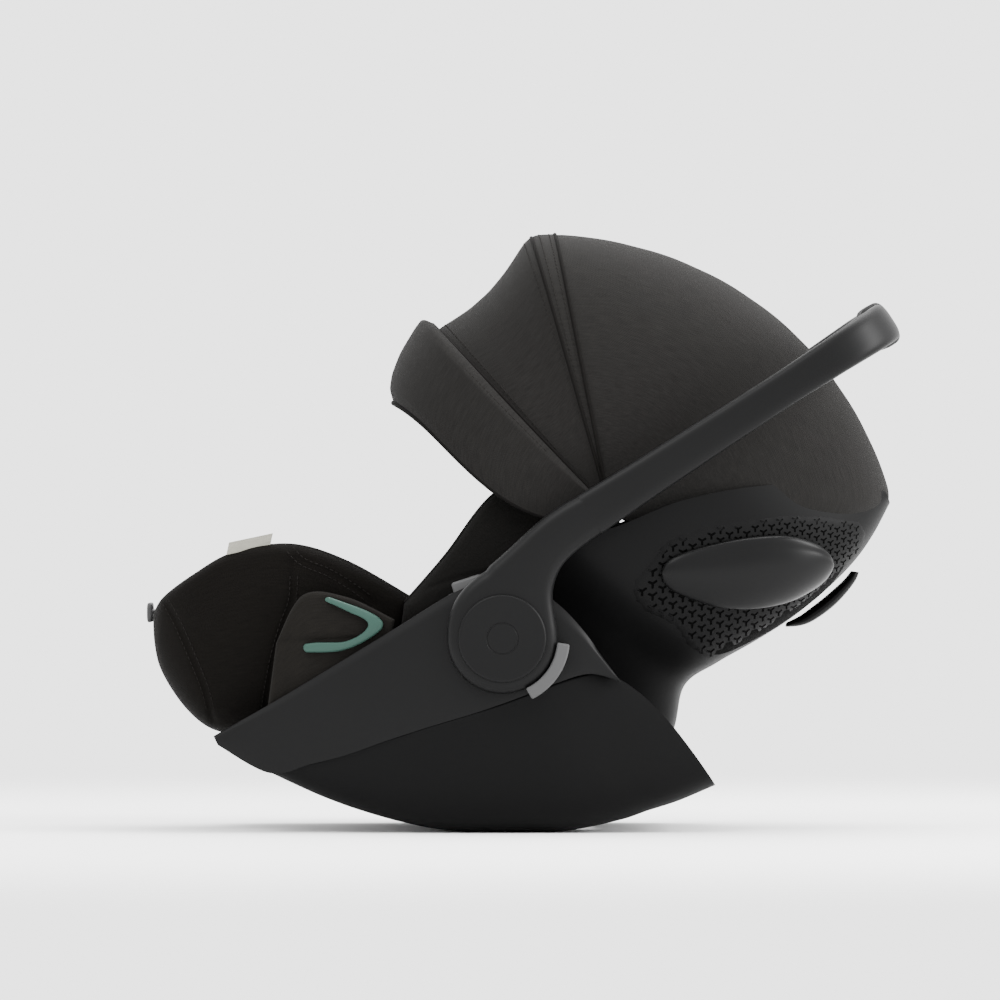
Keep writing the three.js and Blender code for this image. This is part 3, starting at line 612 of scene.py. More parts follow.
def cut_boxes(thing, boxes):
    """Takes boxes out of a mesh: each is its lowest and highest corner in millimetres."""
    for low, high in boxes:
        low, high = np.array(low, float), np.array(high, float)
        work = bmesh.new()
        bmesh.ops.create_cube(work, size=1)
        mesh = bpy.data.meshes.new("cutter")
        work.to_mesh(mesh)
        work.free()
        cutter = bpy.data.objects.new("cutter", mesh)
        mesh.transform(Matrix.Diagonal((*((high - low) * MM), 1)))
        mesh.transform(Matrix.Translation((low + high) / 2 * MM))
        bpy.context.collection.objects.link(cutter)
        cut = thing.modifiers.new("slot", "BOOLEAN")
        cut.operation = "DIFFERENCE"
        cut.solver = "EXACT"
        cut.object = cutter
        bake(thing)
        bpy.data.objects.remove(cutter)
    return thing


def bake(thing):
    """Applies a piece's modifiers to its mesh."""
    seen = bpy.context.evaluated_depsgraph_get()
    mesh = bpy.data.meshes.new_from_object(thing.evaluated_get(seen))
    thing.modifiers.clear()
    thing.data = mesh
    return thing


rocker = make_rocker()
bake(rocker)
slot_boxes = []
for bar in ("lock_bar_front", "lock_bar_rear"):
    low, high = corners(bar)
    middle = 0.5 * (low[0] + high[0])
    slot_boxes.append(((middle - 17, -54, -5), (middle + 17, 54, high[2] + 4)))
cut_boxes(rocker, slot_boxes)
dress(rocker, ROCKER_SHADED_PLASTIC, "base", "dark_plastic", "rocker_base")


def make_panel(hand, side):
    """A side panel: a wall between its low and high lines whose outer face swells a little between
    them, with a rolled top edge."""
    u = np.linspace(0, 1, 161)[:, None]
    v = np.linspace(0, 1, 25)[None]
    low, high = along(PANEL_LOW, u[:, 0])[:, None] - (0, 3.2), along(PANEL_TOP, u[:, 0])[:, None]
    point = low + (high - low) * v[..., None]
    swell = 1.6 * np.sin(np.pi * v) ** 0.7 - 2.2 * smooth(0.9, 1.0, v)
    outer = panel_width(point[..., 0]) + swell - 1.4

    def skin(offset):
        return np.stack([point[..., 0], side * (outer - offset), point[..., 1]], -1)

    thing = plate(f"side_shell_{hand}", skin(0), skin(PANEL_WALL), bevel=1.1)
    return dress(thing, SHELL, "base", "shell_plastic", f"side_panel_{hand}")


for hand, side in SIDES:
    make_panel(hand, side)

TUB_RIM = [(-262, 92), (-216, 119), (-160, 152), (-110, 182), (-60, 212), (-24, 219), (8, 216), (26, 205)]
TUB_LOW = [(-252, 74), (-216, 62), (-170, 52), (-120, 44), (-76, 40), (-40, 40), (-8, 41), (12, 42)]
tub_halves = [
    min(float(panel_width(r[0])), float(panel_width(b[0])) + 4) - 5.6 for r, b in zip(TUB_RIM, TUB_LOW)]
tub = plate("inner_tub", trough(TUB_RIM, TUB_LOW, tub_halves, 61, 70),
            trough(TUB_RIM, TUB_LOW, tub_halves, 61, 70, inset=TUB_WALL), bevel=1.0)
dress(tub, DARK, "base", "dark_plastic", "seat_tub")


# ---- Handle -------------------------------------------------------------------------------------

ARM_ANGLE = math.radians(32.9)
ARM_WAY = np.array((math.cos(ARM_ANGLE), math.sin(ARM_ANGLE)))
ARM_UP = np.array((-math.sin(ARM_ANGLE), math.cos(ARM_ANGLE)))
ARM_OFFSET, ARM_REACH = 51.0, 454.0
ARM_THICK = ARM_FAR - ARM_NEAR


def on_handle(out, above):
    out, above = np.broadcast_arrays(np.asarray(out, float), np.asarray(above, float))
    return np.array(HUB) + out[..., None] * ARM_WAY + above[..., None] * ARM_UP


def make_bow():
    """The handle's bow as one skin: a rounded oblong section carried up one arm, round two corners
    and across the bar. The section is a superellipse whose height follows the reach."""
    far, corner = ARM_REACH - ARM_THICK / 2, 62.0
    middle = 0.5 * (ARM_NEAR + ARM_FAR)
    straight = np.linspace(126.5, far - corner, 26)
    a = np.linspace(0, np.pi / 2, 22)[1:]
    half_path = np.concatenate([
        np.stack([straight, -middle + 0 * straight, 0 * straight, -1 + 0 * straight], -1),
        np.stack([
            far - corner + corner * np.sin(a), -middle + corner * (1 - np.cos(a)), np.sin(a), -np.cos(a)],
            -1),
        np.array([(far, y, 1.0, 0.0) for y in np.linspace(-middle + corner, 0, 16)[1:]])])
    path = np.concatenate([half_path, half_path[-2::-1] * (1, -1, 1, -1)])
    out, y, out_x, out_y = path.T
    tall = ramp([(120, 40), (200, 36.5), (280, 33.5), (340, 32.5), (390, 34), (430, 37), (460, 37)],
                out) / 2
    b = np.linspace(0, 2 * np.pi, 41)[:-1]
    n = 0.62
    above = tall[:, None] * signed_power(np.cos(b), n)[None]
    across = (ARM_THICK / 2) * signed_power(np.sin(b), n)[None]
    above = above * (1 + 0.02 * smooth(190, 126, out))[:, None]
    place = on_handle(out[:, None] + out_x[:, None] * across, ARM_OFFSET + above)
    ring = np.stack([place[..., 0], y[:, None] + out_y[:, None] * across, place[..., 1]], -1)
    return loft("handle_bar", ring, sharp=70)


dress(make_bow(), SHELL, "handle", "shell_plastic", "handle_bow")

ROOT_SHOULDER = [(104, 62.6), (112, 60.4), (120, 58.4), (136, 55.4), (155, 52.2), (172, 50.4)]
ROOT_UNDER = [
    (41.5, -27), (46, -19), (51, -8), (58, 6), (66, 16), (78, 24.5), (92, 28.8), (110, 30.6), (128, 31)]
ROOT_OVER = [(128, 71), (112, 72), (94, 71.8), (76, 69.6), (56, 66), (38, 63), (26, 61.4)]
ROOT_OUTLINE = np.concatenate([
    np.array([HUB + r * np.array((math.cos(math.radians(a)), math.sin(math.radians(a))))
              for a, r in along(ROOT_SHOULDER, np.linspace(0, 1, 30))]),
    arc(HUB[0], HUB[1], HUB_RADIUS, 174, 352, 64),
    along(np.array([on_handle(o, a) for o, a in ROOT_UNDER]), np.linspace(0.06, 1, 30)),
    along(np.array([on_handle(o, a) for o, a in ROOT_OVER]), np.linspace(0, 0.98, 26)),
])


CROWN = [(0.0, 0.0), (0.0, 9.5), (0.5, 12.4), (1.7, 14.8), (3.6, 16.8), (6.2, 18.2), (9.2, 19.0)]


def make_root(hand, side):
    """The moulded foot of an arm: the hub ring and the arm in one outline. Layers draw the outline in
    as they rise, which rounds its edge over, but not where it runs on into the bow."""
    outline = ROOT_OUTLINE
    tangent = np.roll(outline, -1, axis=0) - np.roll(outline, 1, axis=0)
    inward = np.stack([-tangent[:, 1], tangent[:, 0]], -1)
    inward /= np.linalg.norm(inward, axis=1, keepdims=True)
    rings = []
    for inset, height in CROWN:
        edge = outline + inward * inset
        edge = np.where((np.abs((outline - HUB) @ ARM_WAY - 128) < 0.5)[:, None],
                        outline + np.sign(51 - (outline - HUB) @ ARM_UP)[:, None] * inset * ARM_UP, edge)
        y = np.full(len(edge), side * (ARM_NEAR + height / 19.0 * ARM_THICK))
        rings.append(np.stack([edge[:, 0], y, edge[:, 1]], -1))
    thing = loft(f"handle_foot_{hand}", rings, sharp=50)
    return dress(thing, SHELL, "handle", "shell_plastic", f"handle_root_{hand}")


def make_cap(hand, side):
    """The round cap on a hub: a shallow dish with a bead round it, and a plain raised ring inside."""
    face = CAP_FACE - ARM_FAR
    profile = [
        (0, face - 1.0), (13.2, face - 0.9), (13.6, face - 1.3), (14.4, face - 1.3), (14.8, face - 0.9),
        (30, face - 0.5), (36.6, face - 0.2), (37.8, face - 0.1), (38.6, face - 0.4), (39.3, face - 1.1),
        (CAP_RADIUS, face - 2.2), (CAP_RADIUS, -0.6), (0, -0.6)]
    thing = revolve(f"hub_cover_{hand}", profile, (HUB[0], ARM_FAR, HUB[1]), side, count=96)
    return dress(thing, HUB_FINISH, "handle", "shell_plastic", f"hub_cap_{hand}")


BUTTON_INNER, BUTTON_OUTER = HUB_RADIUS - 0.6, 60.8
for hand, side in SIDES:
    make_root(hand, side)
    make_cap(hand, side)
    button = np.concatenate([arc(*HUB, BUTTON_OUTER, -64, -5, 30), arc(*HUB, BUTTON_INNER, -4, -65, 30)])
    dress(side_prism(f"hub_button_{hand}", button, ARM_NEAR + 6, ARM_FAR - 1, side, bevel=2.2),
          GREY, "handle_button_" + hand, "grey_plastic", f"handle_button_{hand}")

grip_low, grip_high = corners("handle_grip")


def make_grip():
    """The grip sleeve: the bar's oblong grown by a wall that swells towards the middle, with ribs."""
    far = ARM_REACH - ARM_THICK / 2
    y = np.linspace(grip_low[1], grip_high[1], 91)
    edge = smooth(0, 6, y - y[0]) * smooth(0, 6, y[-1] - y)
    wall = 0.6 + 2.2 * edge - 0.35 * (np.abs(np.sin(y / 5.0 * np.pi)) < 0.22) * edge
    b = np.linspace(0, 2 * np.pi, 37)[:-1]
    above = (18.5 + wall)[:, None] * signed_power(np.cos(b), 0.62)[None]
    across = (ARM_THICK / 2 + wall)[:, None] * signed_power(np.sin(b), 0.62)[None]
    place = on_handle(far + across, ARM_OFFSET + above)
    ring = np.stack([place[..., 0], y[:, None] + 0 * above, place[..., 1]], -1)
    return loft("grip_sleeve", ring, sharp=60)


dress(make_grip(), GRIP, "handle", "dark_plastic", "handle_grip")


# ---- Back shell, vents and impact pods ----------------------------------------------------------

def back_skin(inset):
    return trough(SHELL_RIM, SHELL_BACK, SHELL_HALVES, 91, 150, inset=inset)


shell = plate("back_shell_skin", back_skin(0.0), back_skin(SHELL_WALL), bevel=1.4, sharp=50)
dress(shell, BACK_SHADED_PLASTIC, "back", "shell_plastic", "back_shell")


def shell_section(x, z):
    """The share along the back shell, and the depth in its section, where a side view shows x, z.
    The section line through the point is found by halving."""
    x, z = np.broadcast_arrays(np.asarray(x, float), np.asarray(z, float))
    near, far = np.zeros(x.shape), np.ones(x.shape)
    for _ in range(26):
        t = 0.5 * (near + far)
        r, b = along(SHELL_RIM, t), along(SHELL_BACK, t)
        ahead = (b[..., 0] - r[..., 0]) * (z - r[..., 1]) - (b[..., 1] - r[..., 1]) * (x - r[..., 0]) > 0
        near, far = np.where(ahead, t, near), np.where(ahead, far, t)
    t = 0.5 * (near + far)
    r, b = along(SHELL_RIM, t), along(SHELL_BACK, t)
    way = b - r
    return t, ((x - r[..., 0]) * way[..., 0] + (z - r[..., 1]) * way[..., 1]) / (way ** 2).sum(-1)


def shell_depth(x, z):
    return shell_section(x, z)[1]


def shell_width(x, z):
    """The back shell's half width: the superellipse at that depth of its section."""
    t, depth = shell_section(x, z)
    return along(SHELL_HALVES, t) * np.sqrt(1 - np.clip(depth, 0, 0.985) ** 2) ** 0.35


def on_shell(x, z, side, offset):
    """Points offset outwards along the shell's normal, above the side view's x, z."""
    step = 0.8
    slope_x = (shell_width(x + step, z) - shell_width(x - step, z)) / (2 * step)
    slope_z = (shell_width(x, z + step) - shell_width(x, z - step)) / (2 * step)
    size = np.sqrt(slope_x ** 2 + 1 + slope_z ** 2)
    out = offset / size
    return np.stack([x - slope_x * out, side * (shell_width(x, z) + out), z - slope_z * out], -1)


VENT_FIELD = [
    (104.5, 226), (105, 214), (114, 203.5), (129.5, 197), (143, 188), (152.5, 173), (167.5, 162),
    (180, 157.5),
    (198, 163.5), (216, 172.5), (236, 186.5), (264, 206.5), (284, 225), (296.5, 240), (303, 251),
    (309, 260),
    (311, 270.5), (306, 278.5), (275, 283.5), (244, 284.2), (207.5, 280.5), (170.5, 274.3), (141.5, 265.2),
    (129.5, 257.6), (119.5, 242)]


def inside_field(x, z, outline):
    """Signed distance to a closed outline, positive inside."""
    p = np.asarray(outline, float)
    q = np.roll(p, -1, axis=0)
    point = np.stack([x, z], -1)[..., None, :]
    edge = q - p
    t = np.clip(((point - p) * edge).sum(-1) / (edge ** 2).sum(-1), 0, 1)
    distance = np.linalg.norm(point - p - edge * t[..., None], axis=-1).min(-1)
    crosses = ((p[:, 1] > point[..., 1]) != (q[:, 1] > point[..., 1])) & (
        point[..., 0] < (q[:, 0] - p[:, 0]) * (point[..., 1] - p[:, 1]) / (q[:, 1] - p[:,
                                                                                       1] + 1e-9) + p[:, 0])
    return np.where(crosses.sum(-1) % 2 == 1, distance, -distance)


FIRST_PITCH, PITCH_FALL = 11.2, 0.0222
VENT_SUNK, VENT_RISE, VENT_DEPTH = -1.6, 2.5, 1.5
# The field of the near-black sheet that paints the shade inside the vent holes.
VENT_SHADE_LOW = [
    (107, 223), (108, 216), (116, 206.5), (131, 200), (145, 191), (155, 176.5), (168, 165.5), (180, 161),
    (204, 170), (240, 190.5), (280, 221.5), (304, 258)]
VENT_SHADE_HIGH = [
    (107, 225), (120, 240), (131, 255), (143, 262.5), (171, 271.5), (208, 277.8), (250, 281), (303, 273)]


def vent_place(xi, eta):
    """A hexagon lattice laid over the vent field: its pitch falls from the front to the rear, and
    its rows follow the field's curved middle line."""
    x = 100 + (FIRST_PITCH / PITCH_FALL) * (1 - np.exp(-PITCH_FALL * xi))
    pitch = FIRST_PITCH * np.exp(-PITCH_FALL * xi)
    middle = 214 + 0.10 * (x - 100) + 0.00075 * (x - 150) * np.abs(x - 150)
    return x, middle + pitch * eta


def make_vent(hand, side):
    """The perforated field. Each hexagon cell is a ring between its border and a hole with three
    arms, with a wall down into the hole; cells round the field's edge are left whole and sink in."""
    row, column = np.meshgrid(np.arange(-12, 13), np.arange(0, 34), indexing="ij")
    xi = (column * math.sqrt(3) / 2).ravel()
    eta = (row + 0.5 * (column % 2)).ravel()
    x, z = vent_place(xi, eta)
    reach = inside_field(x, z, VENT_FIELD)
    pitch = FIRST_PITCH * np.exp(-PITCH_FALL * xi)
    holed = reach > 0.08 * pitch
    kept = (reach > -1.3 * pitch) & (shell_depth(x, z) < 0.94)
    angle = np.radians(np.arange(12) * 30.0)
    hexagon = np.where(np.arange(12) % 2 == 0, 1 / math.sqrt(3), 0.5)
    border = np.stack([hexagon * np.cos(angle), hexagon * np.sin(angle)], -1)
    tips = [(reach, math.radians(way + turn)) for way in (30, 150, 270)
            for reach, turn in ((0.405, -13.5), (0.42, 0), (0.405, 13.5), (0.115, 60))]
    star = np.array([(r * math.cos(a), r * math.sin(a)) for r, a in tips])

    def lay(share, xs, es, depth):
        px, pz = vent_place(xs[:, None] + share[None, :, 0], es[:, None] + share[None, :, 1])
        edge = smooth(-6.0, -1.0, inside_field(px, pz, VENT_FIELD)) * smooth(0.975, 0.94,
                                                                             shell_depth(px, pz))
        return on_shell(px, pz, side, VENT_SUNK + VENT_RISE * edge - depth)

    holes = holed & kept
    count = int(holes.sum())
    xs, es = xi[holes], eta[holes]
    levels = [lay(shape, xs, es, depth) for shape, depth in (
        (border, 0.0), (star * 1.06, 0.0), (star, 0.35), (star * 0.96, VENT_DEPTH))]
    hole_points = np.concatenate(levels, axis=1).reshape(-1, 3)
    k = np.arange(12)
    k2 = (k + 1) % 12
    quads = np.concatenate([
        np.stack([k + 12 * level, k2 + 12 * level, k2 + 12 * (level + 1), k + 12 * (level + 1)], -1)
        for level in range(3)])
    hole_faces = (quads[None] + 48 * np.arange(count)[:, None, None]).reshape(-1, 4)
    whole = kept & ~holed
    xs, es = xi[whole], eta[whole]
    cells = np.concatenate([lay(border, xs, es, 0.0), lay(np.zeros((1, 2)), xs, es, 0.0)], axis=1)
    fan = np.stack([k, k2, np.full(12, 12)], -1)
    fans = (fan[None] + 48 * count + 13 * np.arange(int(whole.sum()))[:, None, None]).reshape(-1, 3)
    all_points = np.concatenate([hole_points, cells.reshape(-1, 3)])
    all_faces = [list(f) for f in hole_faces] + [list(f) for f in fans]
    thing = make_mesh(f"vent_grille_{hand}", all_points, all_faces, sharp=0)
    face_side(thing, side, merge=0.02)
    thing.data.shade_smooth()
    thing.data.set_sharp_from_angle(angle=math.radians(50))
    dress(thing, BACK_SHADED_PLASTIC, "back", "dark_plastic", f"vent_panel_{hand}")

    # A near-black sheet just under the grille's surface, seen through its holes: painted shade inside the
    # holes.
    u, v = np.meshgrid(np.linspace(0, 1, 60), np.linspace(0, 1, 30), indexing="ij")
    low, high = along(VENT_SHADE_LOW, u[:, 0]), along(VENT_SHADE_HIGH, u[:, 0])
    field = low[:, None] + (high - low)[:, None] * v[..., None]
    hole_shade = make_mesh(f"vent_shade_sheet_{hand}", on_shell(field[..., 0], field[..., 1], side, 0.25),
                    grid_faces(60, 30))
    face_side(hole_shade, side)
    dress(hole_shade, VENT_SHADE, "back", "dark_plastic")


POD_LOW = [
    (126, 234.5), (129.5, 226), (142, 217), (172, 206.5), (206, 203.8), (238, 209.5), (262, 221),
    (275, 232),
    (280.5, 244)]
POD_HIGH = [
    (126, 236.5), (131.5, 246), (145, 253.5), (172, 261.5), (206, 268), (238, 269.5), (262, 264),
    (275, 255.5), (281, 246.5)]


def make_pod(hand, side):
    """A side impact pod: a leaf over the vent field. It rises steeply from its lower edge to a soft
    crest near the upper one, as the power of a sine across it, and fades at both tips."""
    u = np.linspace(0, 1, 121)[:, None]
    v = np.linspace(0, 1, 61)[None]
    low, high = along(POD_LOW, u[:, 0])[:, None], along(POD_HIGH, u[:, 0])[:, None]
    point = low + (high - low) * v[..., None]
    across = np.sin(np.pi * v ** 1.15) ** 0.55
    length = np.sin(np.pi * np.clip(u, 0, 1) ** 0.92) ** 0.5
    rise = 3.0 + 11.5 * across * length * (0.55 + 0.45 * smooth(0, 0.7, u))
    lip = 2.6 * smooth(0.80, 0.97, v) * length * smooth(0.3, 0.7, u)
    outer = on_shell(point[..., 0], point[..., 1], side, rise + lip)
    inner = on_shell(point[..., 0], point[..., 1], side, 1.7 + 0 * rise)
    thing = plate(f"impact_guard_{hand}", outer, inner, bevel=0.8, sharp=55)
    dress(thing, POD, f"impact_pod_{hand}", "shell_plastic", f"impact_pod_{hand}")


for hand, side in SIDES:
    make_vent(hand, side)
    make_pod(hand, side)


# ---- Rear release lever -------------------------------------------------------------------------

LEVER_HALF = corners("rear_release_lever")[1][1] - 1
LEVER_OUTER = [(244, 184.6), (258, 186), (270, 191), (286, 202.5), (298, 214.5), (307.5, 227), (311, 235)]
LEVER_INNER = [(245, 188.5), (257, 194.5), (267.5, 202), (278.5, 210.5), (289, 219.5), (298.5, 228.5),
               (304.5, 236)]


def make_lever():
    """The curved lever: a band between an outer and an inner line, narrower at its two sides."""
    u = np.linspace(0, 1, 41)
    outer, inner = along(LEVER_OUTER, u), along(LEVER_INNER, u)
    y = np.linspace(-1, 1, 25)
    half = LEVER_HALF * (0.72 + 0.28 * np.sin(np.pi * u) ** 0.6)
    edge = (1 - np.abs(y) ** 6) ** 0.5
    middle, thick = 0.5 * (outer + inner), 0.5 * (outer - inner)

    def skin(sign):
        place = middle[:, None] + sign * thick[:, None] * (0.25 + 0.75 * edge)[None, :, None]
        return np.stack([place[..., 0], half[:, None] * y[None], place[..., 1]], -1)

    thing = plate("release_lever", skin(1), skin(-1), bevel=1.2)
    dress(thing, DARK, "rear_lever", "dark_plastic", "rear_release_lever")


make_lever()


# ---- Canopy -------------------------------------------------------------------------------------

VISOR_RADII = [
    (133, 232), (133.6, 241), (134.4, 245), (136.5, 244), (139, 242), (143, 239.4), (148, 234.5),
    (151, 229.5), (153.6, 220)]
FRONT_RADII = [
    (100.4, 257.6), (103, 260), (105.8, 262), (107, 259), (108.8, 252.6), (111.5, 243.5), (114.4, 236),
    (119, 228), (124.4, 224.3), (129, 225.2), (133.2, 228)]
REAR_RADII = [
    (-32, 100), (-16.5, 150), (-9.0, 205), (-4.0, 236), (0.5, 256), (3.0, 259), (8, 254.5), (16, 247.5),
    (28, 240), (42, 235.5), (56, 234), (70, 236.5), (84, 243), (94, 251), (101.2, 258)]


def smooth_ramp(pairs, x, width=1.6):
    """The pairs' straight lines with their corners rounded, by averaging over a small width."""
    return sum(ramp(pairs, x + d * width) for d in (-1, -0.5, 0, 0.5, 1)) / 5


ARCH_POWER = 0.62
SPREAD_POWER = 1.85
SHEET_SPAN = (0.0012, 0.9988)


def canopy_points(angle, over, radius, half, spread=0.0):
    """A fan about the canopy axis. over runs from one side to the other over the arch: the reach is
    the radius times a power of its sine, and the half width the same power of its cosine.
    spread turns the sheet on towards its sides, in degrees."""
    a = np.pi * over
    share = np.sin(a) ** ARCH_POWER
    y = -half * signed_power(np.cos(a), ARCH_POWER)
    turn = np.radians(angle + spread * (1 - share) ** SPREAD_POWER)
    out = radius * share
    return np.stack([CANOPY_AXIS[0] + out * np.cos(turn), y + 0 * out,
                     CANOPY_AXIS[1] + out * np.sin(turn)], -1)


def canopy_sheet(name, radii, start, end, rows, half, spread=None, wall=1.6, blur=1.6):
    """One sheet of the canopy between two angles: cloth stretched tight between its bows."""
    angle = np.linspace(start, end, rows)[:, None]
    over = np.linspace(*SHEET_SPAN, 141)[None]
    if callable(half):
        half = half(angle)
    radius = smooth_ramp(radii, angle, blur)
    fan = 0 * angle if spread is None else spread(angle)
    outer = canopy_points(angle, over, radius, half, fan)
    inner = canopy_points(angle, over, radius - wall, half - wall, fan)
    thing = plate(name, outer, inner, sharp=60)
    return thing


def canopy_line(angle, radii, half, lift=0.0, spread=0.0, span=SHEET_SPAN, count=121):
    over = np.linspace(span[0], span[1], count)
    radius = smooth_ramp(radii, angle) + lift
    return canopy_points(np.full(count, float(angle)), over, radius, half + lift, spread)


VISOR_HALF = -corners("canopy_visor")[0][1]
VISOR_DROOP = 58.0


def visor_spread(angle):
    """How far the visor turns on at its sides: none at its rear edge, most at its front edge."""
    return VISOR_DROOP * np.clip((angle - 134) / 19.6, 0, 1)




def visor_half(angle):
    return CANOPY_HALF + 2.6 + (VISOR_HALF - CANOPY_HALF - 1.8) * smooth(133.2, 136.4, angle)


visor = canopy_sheet(
    "visor_sheet", VISOR_RADII, 133.3, 153.4, 80, visor_half, visor_spread, wall=2.2, blur=0.4)
dress(visor, CANOPY_CLOTH, "visor", "canopy_fabric", "canopy_visor")
front = canopy_sheet("front_sheet", FRONT_RADII, 100.8, 133.0, 70, CANOPY_HALF)
dress(front, CANOPY_CLOTH, "canopy_front", "canopy_fabric", "canopy_front_panel")
rear = canopy_sheet("rear_sheet", REAR_RADII, -31.0, 101.2, 160, CANOPY_HALF - 1.2, wall=1.4)
rear.data.materials.append(CANOPY_CLOTH)
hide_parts("canopy_rear_panel")
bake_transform(rear)

for name, angle, radii, half, lift, fan, body, thick in (
        ("visor_front_piping", 153.5, VISOR_RADII, VISOR_HALF, -1.2, 57.7, "visor", 2.1),
        ("visor_rear_piping", 133.4, [(133, 234.2), (134, 234.2)], CANOPY_HALF + 2.6, 0.6, 0.0, "visor",
         1.4),
        ("crown_front_piping", 105.8, FRONT_RADII, CANOPY_HALF, -0.5, 0.0, "canopy_front", 1.7),
        ("crown_rear_piping", 101.0, FRONT_RADII, CANOPY_HALF, -0.5, 0.0, "canopy_front", 1.7)):
    line = canopy_line(angle, radii, half, lift, fan)
    dress(tube(name, line, thick, sides=10), PIPING, body, "canopy_fabric")


# ---- Soft pieces ---------------------------------------------------------------------------------

def pad(name, outer, inner, press=0.0, press_inner=0.0):
    """A stuffed piece between two grids of points. Its border is rounded as a half circle of the
    local thickness, and press draws the outer skin in, for seams and tufts."""
    middle, half = 0.5 * (outer + inner), 0.5 * (outer - inner)
    thick = np.linalg.norm(half, axis=-1)
    du = np.linalg.norm(np.diff(middle, axis=0), axis=-1)
    dv = np.linalg.norm(np.diff(middle, axis=1), axis=-1)
    u = np.concatenate([np.zeros((1, middle.shape[1])), np.cumsum(du, axis=0)])
    v = np.concatenate([np.zeros((middle.shape[0], 1)), np.cumsum(dv, axis=1)], axis=1)
    near = np.minimum(np.minimum(u, u[-1] - u), np.minimum(v, v[:, -1:] - v))
    share = np.clip(near / np.maximum(1.3 * thick, 0.5), 0, 1)
    full = (0.06 + 0.94 * np.sqrt(1 - (1 - share) ** 2))[..., None]
    away = half / np.maximum(thick, 1e-6)[..., None]
    skin_out = middle + half * full - away * np.broadcast_to(press, thick.shape)[..., None]
    skin_in = middle - half * full + away * np.broadcast_to(press_inner, thick.shape)[..., None]
    thing = plate(name, skin_out, skin_in, sharp=0)
    thing.data.shade_smooth()
    return subdivide(thing)


def even(points, columns):
    """The same grid with its columns moved to equal lengths along each row."""
    result = np.empty((points.shape[0], columns, 3))
    for i, row in enumerate(points):
        length = np.concatenate([[0], np.cumsum(np.linalg.norm(np.diff(row, axis=0), axis=1))])
        at = np.linspace(0, length[-1], columns)
        for k in range(3):
            result[i, :, k] = np.interp(at, length, row[:, k])
    return result


def soft_trough(rim, low, half, rows, columns, inset, wall, start=0.0, end=1.0):
    """The two skins of a padded bucket, inset from a rim and wall thick."""
    outer = even(trough(rim, low, half, 241, rows, inset=inset, start=start, end=end), columns)
    inner = even(trough(rim, low, half, 241, rows, inset=inset + wall, start=start, end=end), columns)
    return outer, inner


def line_press(x, z, line, depth, width):
    """How far a seam along a line in the side view draws the surface in."""
    p = np.asarray(line, float)
    point = np.stack([x, z], -1)[..., None, :]
    edge = p[1:] - p[:-1]
    t = np.clip(((point - p[:-1]) * edge).sum(-1) / (edge ** 2).sum(-1), 0, 1)
    distance = np.linalg.norm(point - p[:-1] - edge * t[..., None], axis=-1).min(-1)
    return depth * np.exp(-(distance / width) ** 2)


STITCH, STITCH_GAP, THREAD_RADIUS = 3.4, 1.6, 0.42


def stitches(name, path, body, slot):
    """A row of thread stitches along a path: short rounded bars, each a six-sided spindle."""
    path = np.asarray(path, float)
    run = np.concatenate([[0], np.cumsum(np.linalg.norm(np.diff(path, axis=0), axis=1))])
    starts = np.arange(STITCH_GAP, run[-1] - STITCH, STITCH + STITCH_GAP)
    a = np.linspace(0, 2 * np.pi, 6, endpoint=False)
    points, faces = [], []
    for s0 in starts:
        ends = [np.array([np.interp(s0 + d, run, path[:, k]) for k in range(3)]) for d in (0, STITCH)]
        way = (ends[1] - ends[0]) / STITCH
        across = np.cross(way, (0.31, 0.77, 0.55))
        across /= np.linalg.norm(across)
        other = np.cross(way, across)
        base = sum(len(p) for p in points)
        ring = across[None] * np.cos(a)[:, None] + other[None] * np.sin(a)[:, None]
        for share, size in ((0.0, 0.35), (0.2, 1.0), (0.8, 1.0), (1.0, 0.35)):
            points.append(ends[0] + (ends[1] - ends[0]) * share + ring * THREAD_RADIUS * size)
        for level in range(3):
            here, above = base + level * 6, base + (level + 1) * 6
            for k in range(6):
                k2 = (k + 1) % 6
                faces.append([here + k, here + k2, above + k2, above + k])
        faces.append([base + k for k in range(6)][::-1])
        faces.append([base + 18 + k for k in range(6)])
    thing = make_mesh(name, np.concatenate(points), faces, sharp=0)
    fix_outward(thing)
    return dress(thing, THREAD, body, slot)


def surface_path(x, z, outer, side):
    """Points of a side-view line laid on a grid of points, on one side of the seat."""
    flat = outer.reshape(-1, 3)
    flat = flat[flat[:, 1] * side > 0]
    result = []
    for px, pz in zip(x, z):
        distance = np.hypot(flat[:, 0] - px, flat[:, 2] - pz)
        near = np.argsort(distance)[:4]
        weight = 1 / (distance[near] + 0.3)
        result.append((px, (flat[near, 1] * weight).sum() / weight.sum(), pz))
    return np.array(result)


# ---- Leg rest -----------------------------------------------------------------------------------

leg_outer, leg_inner = soft_trough(LEG_RIM, LEG_LOW, LEG_HALVES, 96, 120, 0.0, COVER_WALL)
LEG_SEAMS = [
    [(-331, 214), (-325.2, 211), (-313, 190), (-301, 163), (-287.5, 129), (-281, 100)],
    [(-206, 246), (-207.5, 211), (-215.7, 188), (-225.9, 151.3), (-232.3, 114.5), (-234, 92)],
    [(-214, 262), (-199.2, 246), (-176, 236), (-154, 223), (-132, 207)]]
leg_press = sum(line_press(leg_outer[..., 0], leg_outer[..., 2], seam, 2.2, 2.6) for seam in LEG_SEAMS)
leg_fold = 1.1 * np.sin(leg_outer[..., 0] * 0.085 + 1.2 * np.sin(leg_outer[..., 2] * 0.045))
leg_press = leg_press * (np.abs(leg_outer[..., 1]) > 40)
leg = pad("leg_rest_padding", leg_outer, leg_inner, press=leg_press + 0.5 * leg_fold)
dress(leg, SEAT_CLOTH, "leg_rest", "seat_fabric", "leg_rest_cover")
